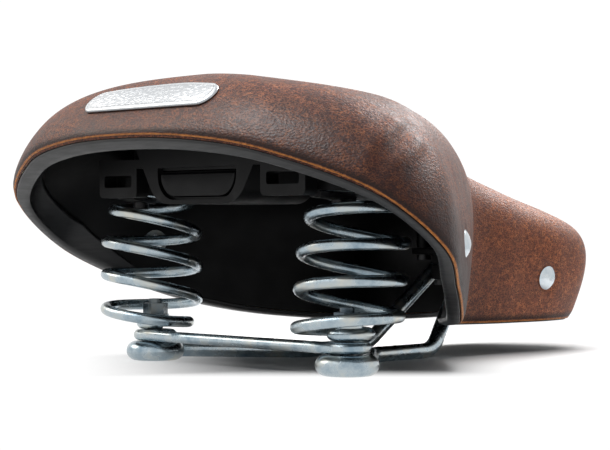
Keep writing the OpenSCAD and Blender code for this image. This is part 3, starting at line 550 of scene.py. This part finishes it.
def polished(node, p, c):
    """Nickel-plated rivets, polished: a clear, slightly soft mirror."""
    tint_mm, wave_mm = 4, 1.6
    cloud = node(NOISE, scaled(p, tint_mm))
    base = node(RAMP, (cloud,), stops=((0.3, colour("#b3bdc3")), (0.7, c.rivets)))
    waves = node(NOISE, scaled(p, wave_mm))
    normal = node(BUMP, {"Height": waves, "Distance": 0.02 * MM, "Strength": 0.3})
    return node(SURFACE, {"Base Color": base, "Metallic": 1.0, "Roughness": 0.2, "Normal": normal})


def badge_metal(node, p, c):
    """Stamped aluminium of the badge: a smooth raised border round a plain hammered field, no lettering."""
    dent_mm, grain_mm = 1.5, 0.5
    reach = node(ATTRIBUTE, out="Fac", attribute_name="reach")
    border = node(RANGE, (reach, 0.72, 0.78), **SOFT)
    inside = node(MATH, (1.0, border), operation="SUBTRACT")
    level = node(MAPPING, {"Vector": p, "Scale": (0.7, 0.7, 1.2)})
    dents = node(CELLS, scaled(level, dent_mm, Smoothness=0.25), feature="SMOOTH_F1")
    bosses = node(MATH, (node(RANGE, (dents, 0.2, 0.6, 1, 0), **SOFT), inside), **TIMES)
    height = node(MATH, (border, 0.9, bosses), **TIMES_PLUS)
    # Painted shade: the hammered field darker in the bottoms of its dents
    painted_dent_shade = node(MATH, (inside, node(RANGE, (dents, 0.35, 0.65, 0, 0.3), **SOFT)), **TIMES)
    base = node(MIX, {"Factor": painted_dent_shade, "A": c.badge, "B": colour("#74777b")}, **TINTS)
    line = node(MATH, (node(RANGE, (reach, 0.66, 0.72, 0, 0.6), **SOFT), inside), **TIMES)
    base = node(MIX, {"Factor": line, "A": base, "B": colour("#5b5e62")}, **TINTS)
    grain = node(NOISE, scaled(p, grain_mm))
    normal = node(BUMP, {"Height": grain, "Distance": 0.02 * MM, "Strength": 0.3})
    normal = node(BUMP, {"Height": height, "Distance": 0.15 * MM, "Strength": 0.8, "Normal": normal})
    return node(SURFACE, {"Base Color": base, "Metallic": 1.0, "Roughness": 0.42, "Normal": normal})


def seen_by_eye(node):
    """1 for the camera's rays and for what glossy and clear surfaces show of the surroundings."""
    rays = ("Is Camera Ray", "Is Glossy Ray", "Is Transmission Ray")
    camera, glossy, clear = (node("ShaderNodeLightPath", out=ray) for ray in rays)
    shown = node(MATH, (camera, glossy), operation="ADD")
    return node(MATH, (shown, clear), operation="ADD", use_clamp=True)


WHITE, WHITE_STRENGTH = (1, 1, 1, 1), 1.05


def white_floor(node, p):
    """Matt white paper: it shows the shadow close to the saddle and runs out to pure white away from it."""
    to_camera, to_rear = (0.7071, -0.7071, 0), (-0.64, -0.77, 0)
    paper = node(SURFACE, {"Base Color": colour("#f4f4f4"), "Roughness": 0.9})
    away = node(VECTOR, (p,), out="Value", operation="LENGTH")
    ahead = node(VECTOR, (p, to_camera), out="Value", operation="DOT_PRODUCT")
    behind = node(VECTOR, (p, to_rear), out="Value", operation="DOT_PRODUCT")
    clear = node(RANGE, (away, 150, 300), **SOFT)
    for far, start, end in ((ahead, 65, 110), (behind, 50, 145)):
        clear = node(MATH, (clear, node(RANGE, (far, start, end), **SOFT)), operation="MAXIMUM")
    white = node(MATH, (clear, seen_by_eye(node)), **TIMES)
    glow = node("ShaderNodeEmission", {"Color": WHITE, "Strength": WHITE_STRENGTH})
    return node("ShaderNodeMixShader", (white, paper, glow))


WELD, ROUND_OVER, SPLIT_OVER = 0.01 * MM, math.radians(35), math.radians(32)


def show_node(name, material, bevel=0.0):
    """Gives a CAD node its material and smooth shading, and a small edge round where it is moulded."""
    obj = NODES[name]
    obj.data.materials.clear()
    obj.data.materials.append(material)
    weld = obj.modifiers.new("Weld", "WELD")
    weld.merge_threshold = WELD
    if bevel:
        edge = obj.modifiers.new("Edge", "BEVEL")
        edge.width, edge.segments = bevel * MM, 3
        edge.limit_method, edge.angle_limit = "ANGLE", ROUND_OVER
        edge.harden_normals = False
    obj.data.polygons.foreach_set("use_smooth", np.ones(len(obj.data.polygons), bool))
    flats = obj.modifiers.new("Flats", "EDGE_SPLIT")
    flats.split_angle = SPLIT_OVER


class SADDLE_OT_cover(bpy.types.Operator):
    """Builds the leatherette cover with its creases, rivet dimples and cut edge"""

    bl_idname = "saddle.cover"
    bl_label = "Cover"
    STATIONS, ROWS, INNER_ROWS = 300, 100, 24

    # Rivets by outline place and section angle, with the depth, radius and fade of the dimples round them
    RIVETS = ((5.45, 18.7), (9.66, 18.6))
    DIMPLE, DIMPLE_R, DIMPLE_FADE = 0.62, 6.0, 3.0

    # Crease up the wing: its points and strength along it, its groove, and the fold beside the groove
    CREASE = ((101.8, -82.5, 100.5), (109.5, -97.2, 94.5), (112.7, -108.8, 88.6), (113.5, -117, 79.4))
    CREASE_STRENGTH = ((0, 0.2), (0.15, 1), (0.5, 0.8), (1, 0.1))
    GROOVE, GROOVE_W = 1.1, 2.2
    FOLD, FOLD_AWAY, FOLD_W = 1.3, 6.0, 3.4

    # Curl of the hem, then each ring of the cut edge: its inset, its drop and its mark for the material
    CURL, CURL_H = 0.8, 4.0
    EDGE_RINGS = ((0.2, 0.3, 0.0), (0.6, 0.3, 0.0), (0.65, 0.3, -2.0), (0.9, 0.2, -2.0))
    INSIDE_MARK = 99.0

    # Flat cut of the sheet in metres and its area, estimates: the hood's plan plus about 36 mm a side
    CUT, CUT_AREA = (0.32, 0.37), 0.075

    def pressed(self, hood, outer):
        """The outer skin with its dimples and creases."""
        normal = unit(np.cross(np.gradient(outer, axis=1), np.gradient(outer, axis=0)))
        depth = np.zeros(outer.shape[:2])
        for place in self.RIVETS:
            away = np.linalg.norm(outer - hood.point(*place), axis=2)
            depth += self.DIMPLE * (1 - ease((away - self.DIMPLE_R) / self.DIMPLE_FADE))
        away, place = off_line(outer, self.CREASE)
        groove = self.GROOVE * np.exp(-((away / self.GROOVE_W) ** 2))
        fold = self.FOLD * np.exp(-(((away - self.FOLD_AWAY) / self.FOLD_W) ** 2))
        depth += table(place, self.CREASE_STRENGTH) * (groove - fold)
        return outer - depth[..., None] * normal

    def execute(self, context):
        hood = Hood(context)
        s = np.linspace(0, hood.end, self.STATIONS + 1)
        outer, hem = hood.rows_of(s, self.ROWS)
        inner, _ = hood.rows_of(s, self.INNER_ROWS, hood.p.cover_t, hood.p.cover_t)
        _, o, _ = hood.frame(s, 0.0)
        outward = np.concatenate([o, np.zeros((len(s), 1))], 1)
        curl = self.CURL * np.clip(1 - hem / self.CURL_H, 0, 1) ** 2
        outer = self.pressed(hood, outer) - curl[..., None] * outward[:, None]
        rings = [outer[:, -1] - inset * outward - [0, 0, drop] for inset, drop, _ in self.EDGE_RINGS]
        half = np.concatenate([outer, np.stack(rings, 1), inner[:, ::-1]], 1)
        points, faces, source = mirror_solid(half)
        marks = np.tile([mark for _, _, mark in self.EDGE_RINGS], (len(s), 1))
        inside = np.full(inner.shape[:2], self.INSIDE_MARK)
        marks = np.concatenate([hem, marks, inside], 1)[:, source]
        material = made("Embossed leatherette, distressed", leatherette, context.scene.saddle_colours)
        obj, used = make_object("cover_leatherette", points, faces, material)
        add_values(obj, "hem", marks.reshape(-1)[used])
        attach(obj, "seat")
        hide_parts("cover")
        return {"FINISHED"}


class SADDLE_OT_foam(bpy.types.Operator):
    """Builds the foam pad between the cover and the shell"""

    bl_idname = "saddle.foam"
    bl_label = "Foam"
    STATIONS, ROWS = 120, 30
    HEM_LIFT = 1.9

    def execute(self, context):
        hood = Hood(context)
        p = hood.p
        s = np.linspace(0, hood.end, self.STATIONS + 1)
        top = p.cover_t + 2 * p.lay_gap
        under = p.cover_t + p.lay_gap
        outer, _ = hood.rows_of(s, self.ROWS, top, top, self.HEM_LIFT)
        inner, _ = hood.rows_of(s, self.ROWS, under + p.foam_hem_t, under + p.foam_t, self.HEM_LIFT)
        points, faces, _ = mirror_solid(np.concatenate([outer, inner[:, ::-1]], 1))
        material = made("Open-cell polyurethane foam", foam)
        obj, _ = make_object("foam_padding", points, faces, material)
        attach(obj, "seat")
        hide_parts("foam_pad")
        return {"FINISHED"}


class SADDLE_OT_band(bpy.types.Operator):
    """Builds the rim band, which covers the hem, rolls up inside and stands along the shell as a low wall"""

    bl_idname = "saddle.band"
    bl_label = "Rim band"
    STATIONS = 360

    # Heights over the hem line: the band's underside, the top of its outer edge and the foot of its wall
    FOOT, OUTER_TOP, WALL_FOOT = -1.0, 0.3, 0.8
    CORNER_R, CORNER_STEPS = 0.5, 5
    ROLL_END, ROLL_STEPS = 86, 8
    WALL_T, WALL_GAP, WALL_STEPS, WALL_TURN = 1.0, 0.8, 9, 2.0

    # Height of the wall at shares of the outline
    WALL_TOP = ((0, 5), (0.12, 10), (0.36, 13), (0.43, 6), (0.5, 1.6), (1, 1.6))

    def strip(self, hood, s, inset, lift):
        """Line round the hem, moved in and lifted."""
        e, _, _ = hood.frame(s, inset[:, None])
        return np.stack([e[:, 0], e[:, 1] + hood.rear, hood.hem(s, e[:, 1]) + lift], -1)

    def wall(self, hood, s, inset, share, drop):
        """Line at a share of the wall's height, which leaves the strip and turns up along the shell."""
        top = table(s / hood.end, self.WALL_TOP)
        lift = self.WALL_FOOT + share * (top - self.WALL_FOOT)
        turned = ease((lift - self.WALL_FOOT) / self.WALL_TURN)[:, None]
        a = hood.start(s[:, None], lift[:, None], inset[:, None], drop)
        on_shell = hood.point(s[:, None], a, inset[:, None], drop)[:, 0]
        return self.strip(hood, s, inset, lift) * (1 - turned) + on_shell * turned

    def execute(self, context):
        hood = Hood(context)
        p = hood.p
        s = np.linspace(0, hood.end, self.STATIONS + 1)
        widths = ((0, p.band_w), (0.5, p.band_w), (0.68, p.nose_band_w), (1, p.nose_band_w))
        wide = table(s / hood.end, widths)
        edge = np.full(len(s), p.cover_t + p.lay_gap)
        drop = p.cover_t + 2 * p.lay_gap + p.foam_t + p.shell_t + self.WALL_GAP
        lines = [self.strip(hood, s, edge, self.OUTER_TOP)]
        for turn in np.radians(np.linspace(0, 90, self.CORNER_STEPS)):
            inset = edge + self.CORNER_R * (1 - math.cos(turn))
            lines.append(self.strip(hood, s, inset, self.FOOT + self.CORNER_R * (1 - math.sin(turn))))
        for turn in np.radians(np.linspace(0, self.ROLL_END, self.ROLL_STEPS)):
            inset = edge + wide * (0.5 + 0.5 * math.sin(turn))
            lift = self.FOOT + (self.WALL_FOOT - self.FOOT) * (1 - math.cos(turn))
            lines.append(self.strip(hood, s, inset, lift))
        climb = np.linspace(0, 1, self.WALL_STEPS)
        lines += [self.wall(hood, s, edge + wide, k, drop + self.WALL_T) for k in climb]
        lines += [self.wall(hood, s, edge + wide - self.WALL_T, k, drop) for k in climb[::-1]]
        right = np.stack(lines, 1)
        left = right[-2:0:-1] * [-1, 1, 1]
        points, faces = sweep(np.concatenate([right, left]), True)
        material = made("Moulded polypropylene, satin grey", band_plastic, context.scene.saddle_colours)
        obj, _ = make_object("rim_band_satin", points, faces[:, ::-1], material)
        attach(obj, "seat")
        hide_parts("rim_band")
        return {"FINISHED"}


class SADDLE_OT_badge(bpy.types.Operator):
    """Builds the bare badge plate on the rear of the hood"""

    bl_idname = "saddle.badge"
    bl_label = "Badge"
    COLUMNS, ROWS = 96, 40

    # Length and shift from the middle, edges below the crest, fall of the top edge and round of the ends
    LONG, SHIFT = 79.0, 4.4
    LOW, HIGH, FALL = 16.5, 6.0, 2.0
    END_ROUND = 0.17

    # Heights over the cover of the underside, the edge and the crown, and how fast the ends and sides round
    UNDER, EDGE, CROWN = 0.3, 0.75, 0.85
    END_SLOPE, SIDE_SLOPE = 30, 8

    def execute(self, context):
        hood = Hood(context)
        across = np.linspace(-1, 1, self.COLUMNS + 1)
        up = np.sin(np.linspace(-math.pi / 2, math.pi / 2, self.ROWS + 1))
        u, v = np.meshgrid(across, up)
        end = 1 - self.END_ROUND * (1 - np.sqrt(np.clip(1 - v * v, 0, 1)))
        x = self.SHIFT + u * end * self.LONG / 2
        tall = self.LOW - self.HIGH - self.FALL * u * u
        s, a = hood.find(np.abs(x), hood.p.crest_h - self.LOW + tall * (v + 1) / 2)
        flip = np.where(x < 0, -1.0, 1.0)[..., None] * [1, 0, 0] + [0, 1, 1]
        base, normal = hood.point(s, a) * flip, hood.normal(s, a) * flip
        rim = np.minimum((1 - np.abs(u)) * self.END_SLOPE, (1 - np.abs(v)) * self.SIDE_SLOPE)
        crown = np.sqrt(1 - (1 - np.minimum(1, rim)) ** 2)
        top = base + normal * (self.EDGE + self.CROWN * crown)[..., None]
        points = np.concatenate([top.reshape(-1, 3), (base + normal * self.UNDER).reshape(-1, 3)])
        ids = np.arange(u.size).reshape(u.shape)
        face = np.stack([ids[:-1, :-1], ids[:-1, 1:], ids[1:, 1:], ids[1:, :-1]], -1).reshape(-1, 4)
        ring = np.concatenate([ids[0, :-1], ids[:-1, -1], ids[-1, :0:-1], ids[:0:-1, 0]])
        after = np.roll(ring, -1)
        side = np.stack([ring, after, after + u.size, ring + u.size], -1)[:, ::-1]
        faces = np.concatenate([face, face[:, ::-1] + u.size, side])
        material = made("Stamped aluminium, satin", badge_metal, context.scene.saddle_colours)
        obj, used = make_object("badge_plate_bare", points, faces, material)
        reach = np.maximum(np.abs(u) ** 6, np.abs(v)).reshape(-1)
        add_values(obj, "reach", np.tile(reach, 2)[used])
        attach(obj, "seat")
        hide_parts("badge_plate")
        return {"FINISHED"}


def bright_zinc(c):
    """The bright plating of the springs and the wire frame."""
    return made("Zinc-plated steel, bright", zinc, c.zinc_cool, c.zinc_middle, c.zinc_warm)


class SADDLE_OT_springs(bpy.types.Operator):
    """Winds the two coil springs"""

    bl_idname = "saddle.springs"
    bl_label = "Springs"
    PER_TURN, SIDES = 64, 24

    # Inner radius of the eye, and angles along the wire in degrees: the direction of its cut end, where it
    # begins to climb, how softly, and how far the held turn goes on past the climb
    EYE_R, CUT_END, CLIMB_FROM, CLIMB_KNEE, HELD_ARC = 3.7, 345, 343, 45, 165

    # Start and length of the stretches where the wire widens from eye to coil, narrows to the held turn,
    # counted from the end of the climb, and takes up its tilt
    WIDEN, NARROW, TILT = (155, 235), (-470, 330), (300, 300)

    # Drift of the coils' axis: out and back past the eye, and with each millimetre of rise
    EYE_OUT, EYE_BACK, LEAN = 1.0, 1.6, 0.057

    # Rounded wire ends: share of the radius and distance from the cut
    END_RINGS = ((0.8, -0.02), (0.94, 0.1), (1.0, 0.4))
    HELD_SINK = 2.6

    def line(self, p, rear, t):
        """Middle of the left spring's wire after t degrees from the eye's cut end."""
        eye_r, coil_r, top_r = self.EYE_R + p.wire / 2, (p.coil_d - p.wire) / 2, (p.top_d - p.wire) / 2
        stop = self.CLIMB_FROM + 360 * p.turns
        out = ease((t - self.WIDEN[0]) / self.WIDEN[1])
        held = ease((t - stop - self.NARROW[0]) / self.NARROW[1])
        r = eye_r + (coil_r - eye_r) * out + (top_r - coil_r) * held
        up = p.pitch / 360 * (ramp(t - self.CLIMB_FROM, self.CLIMB_KNEE) - ramp(t - stop, self.CLIMB_KNEE))
        a = np.radians(self.CUT_END - t)
        tilt = math.tan(p.tilt) * ease((t - self.TILT[0]) / self.TILT[1])
        x = -p.gap / 2 - self.EYE_OUT * out - self.LEAN * up + r * np.cos(a)
        y = rear + p.setback - self.EYE_BACK * out + self.LEAN * up + r * np.sin(a)
        return np.stack([x, y, p.eye_z + up - tilt * r * np.sin(a)], -1)

    def wound(self, p, rear):
        """Points, faces and end caps of the left spring."""
        last = self.CLIMB_FROM + 360 * p.turns + self.HELD_ARC
        t = np.linspace(0, last, int(last / 360 * self.PER_TURN) + 1)
        middle = self.line(p, rear, t)
        along = unit(self.line(p, rear, t + 0.5) - self.line(p, rear, t - 0.5))
        a = np.radians(self.CUT_END - t)
        out = np.stack([np.cos(a), np.sin(a), 0 * a], -1)
        out = unit(out - along * (out * along).sum(1, keepdims=True))
        side = np.cross(along, out)
        k = np.radians(np.arange(self.SIDES) * 360 / self.SIDES)
        around = np.cos(k)[None, :, None] * out[:, None] + np.sin(k)[None, :, None] * side[:, None]
        around *= p.wire / 2
        rings = [middle[0] + along[0] * d + around[0] * f for f, d in self.END_RINGS]
        rings += [m + w for m, w in zip(middle[1:-1], around[1:-1])]
        rings += [middle[-1] - along[-1] * d + around[-1] * f for f, d in reversed(self.END_RINGS)]
        points, faces = sweep(np.stack(rings), False)
        first = np.arange(self.SIDES)
        return points, faces, (first[::-1], len(points) - self.SIDES + first)

    def execute(self, context):
        p = in_mm(context.scene.saddle_spring)
        rear = Hood(context).rear
        points, faces, caps = self.wound(p, rear)
        material = bright_zinc(context.scene.saddle_colours)
        for name, flip in (("spring_left", 1), ("spring_right", -1)):
            ends = [c[::flip] for c in caps]
            obj, _ = make_object(name + "_wire", points * [flip, 1, 1], faces[:, ::flip], material, ends)
            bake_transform(obj)
            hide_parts(name)
        return {"FINISHED"}


class SADDLE_OT_metal(bpy.types.Operator):
    """Finishes the wire frame, its bolts and the rivets"""

    bl_idname = "saddle.metal"
    bl_label = "Metal"
    BRIGHT = ("rail_wire", "crossbar", "spring_washers")
    DULL = ("spring_bolts", "spring_nuts", "rivet_washers")
    DULL_TINTS = ("#3f4a52", "#5a646a", "#6d6c66")
    BLACK = ("bracket_screws", "spring_keepers", "keeper_screws", "nose_block_screws", "nose_cap_screws")

    def execute(self, context):
        c = context.scene.saddle_colours
        dull = made("Zinc-plated steel, dull", zinc, *map(colour, self.DULL_TINTS))
        black_steel = made("Blackened steel", black, colour("#101012"), 0.35, 0.02, 0.5)
        for names, material in ((self.BRIGHT, bright_zinc(c)), (self.DULL, dull), (self.BLACK, black_steel)):
            for name in names:
                show_node(name, material)
        show_node("skirt_rivets", made("Nickel plate, polished", polished, c))
        return {"FINISHED"}


class SADDLE_OT_mouldings(bpy.types.Operator):
    """Finishes the shell, the bracket and the nose bearing"""

    bl_idname = "saddle.mouldings"
    bl_label = "Mouldings"
    EDGE_ROUND = 0.5

    def execute(self, context):
        c = context.scene.saddle_colours
        glossy = made("Moulded polypropylene, glossy black", black, c.shell, 0.42, 0.02, 0.12)
        show_node("base_shell", glossy)
        satin = made("Moulded nylon, satin black", black, c.moulding, 0.46, 0.03, 0.16)
        for name in ("under_bracket", "clip_cap", "nose_block", "nose_cap"):
            show_node(name, satin, self.EDGE_ROUND)
        return {"FINISHED"}


class SADDLE_OT_stage(bpy.types.Operator):
    """Sets the floor, the studio light and the camera"""

    bl_idname = "saddle.stage"
    bl_label = "Stage"

    # Half side of the floor in metres, and strength of the room's light on the saddle
    FLOOR_HALF, ROOM_STRENGTH = 6.0, 0.09

    # Camera in metres and degrees, and its focal length in pixels of the photo
    CAMERA_PLACE, CAMERA_TURN = (0.5585, -0.5979, 0.062), (90, 0, 45)
    FOCAL_PX, PHOTO_WIDTH_PX, SENSOR_MM = 1752, 610, 36

    # Lamps that light plain colour only: name, place, aim, size and power
    PLAIN_LAMPS = (
        ("overhead", (0, 0, 1.2), (0, 0, 0.05), (1.0, 1.0), 11),
        ("above the rear", (-0.143, -0.673, 1.043), (0, 0, 0.06), (0.5, 0.5), 4.5),
        ("above the nose", (-0.3, 0.52, 1.1), (0, 0, 0.05), (0.6, 0.6), 12),
    )

    # Lamps that light the sheen only: the same, then a tint
    SHEEN_LAMPS = (
        ("sheen on the rear", (-0.143, -0.673, 1.043), (0, 0, 0.06), (0.5, 0.5), 32, "#ffffff"),
        ("sheen on the left", (-0.85, -0.49, 0.75), (0, 0, 0.06), (0.7, 0.7), 6, "#fff4e6"),
        ("sheen on the wings", (-0.15, 1.04, 0.82), (0.05, -0.04, 0.1), (0.65, 0.36), 10, "#ffffff"),
    )

    def floor(self, scene):
        """Wide level floor under the feet."""
        half = self.FLOOR_HALF
        mesh = bpy.data.meshes.new("floor")
        places = [(-half, -half, 0), (half, -half, 0), (half, half, 0), (-half, half, 0)]
        mesh.from_pydata(places, [], [(0, 1, 2, 3)])
        mesh.materials.append(made("Matt white paper", white_floor))
        obj = bpy.data.objects.new("floor", mesh)
        scene.collection.objects.link(obj)

    def room(self, scene):
        """White to the eye, and a faint light on the saddle."""
        scene.world = scene.world or bpy.data.worlds.new("World")
        scene.world.use_nodes = True
        scene.world.node_tree.nodes.clear()
        node, kind = functools.partial(add, scene.world.node_tree), "ShaderNodeBackground"
        white = node(kind, {"Color": WHITE, "Strength": WHITE_STRENGTH})
        faint = node(kind, {"Color": colour("#d6dade"), "Strength": self.ROOM_STRENGTH})
        both = node("ShaderNodeMixShader", (seen_by_eye(node), faint, white))
        node("ShaderNodeOutputWorld", {"Surface": both})

    def softbox(self, scene, name, place, aim, size, power, tint="#ffffff", sheen=False):
        """A soft lamp, for plain colour or for sheen alone."""
        data = bpy.data.lights.new(name, "AREA")
        data.shape, data.size, data.size_y, data.energy = "RECTANGLE", size[0], size[1], power
        data.color = colour(tint)[:3]
        obj = bpy.data.objects.new(name, data)
        obj.location = place
        obj.rotation_euler = (Vector(aim) - Vector(place)).to_track_quat("-Z", "Y").to_euler()
        obj.visible_diffuse, obj.visible_glossy = not sheen, sheen
        scene.collection.objects.link(obj)

    def camera(self, scene):
        """Camera of the photo."""
        data = bpy.data.cameras.new("camera")
        data.sensor_width = self.SENSOR_MM
        data.lens = self.FOCAL_PX * self.SENSOR_MM / self.PHOTO_WIDTH_PX
        data.clip_start, data.clip_end = 0.05, 50
        obj = bpy.data.objects.new("camera", data)
        obj.location = self.CAMERA_PLACE
        obj.rotation_euler = [math.radians(turn) for turn in self.CAMERA_TURN]
        scene.collection.objects.link(obj)
        scene.camera = obj

    def execute(self, context):
        scene = context.scene
        self.floor(scene)
        self.room(scene)
        for lamp in self.PLAIN_LAMPS:
            self.softbox(scene, *lamp)
        for lamp in self.SHEEN_LAMPS:
            self.softbox(scene, *lamp, sheen=True)
        self.camera(scene)
        scene.view_settings.view_transform = "Standard"
        return {"FINISHED"}


class SADDLE_PT_panel(bpy.types.Panel):
    """Sizes, colours and build steps of the saddle's looks"""

    bl_idname = "SADDLE_PT_panel"
    bl_label = "Saddle"
    bl_space_type = "VIEW_3D"
    bl_region_type = "UI"
    bl_category = "Saddle"

    def draw(self, context):
        for group in GROUPS:
            box = self.layout.box()
            for name in GROUPS[group].__annotations__:
                box.prop(getattr(context.scene, group), name)
        for step in STEPS:
            self.layout.operator(step.bl_idname)


GROUPS = {"saddle_hood": HoodSettings, "saddle_spring": SpringSettings, "saddle_colours": ColourSettings}
STEPS = (
    SADDLE_OT_cover,
    SADDLE_OT_foam,
    SADDLE_OT_band,
    SADDLE_OT_badge,
    SADDLE_OT_springs,
    SADDLE_OT_metal,
    SADDLE_OT_mouldings,
    SADDLE_OT_stage,
)
CLASSES = (*GROUPS.values(), *STEPS, SADDLE_PT_panel)


def register():
    for kind in CLASSES:
        bpy.utils.register_class(kind)
    for name, group in GROUPS.items():
        setattr(bpy.types.Scene, name, bpy.props.PointerProperty(type=group))


def unregister():
    for name in GROUPS:
        delattr(bpy.types.Scene, name)
    for kind in reversed(CLASSES):
        bpy.utils.unregister_class(kind)


def main():
    register()
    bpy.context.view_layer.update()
    for step in STEPS:
        group, name = step.bl_idname.split(".")
        getattr(getattr(bpy.ops, group), name)()


if __name__ == "__main__":
    main()
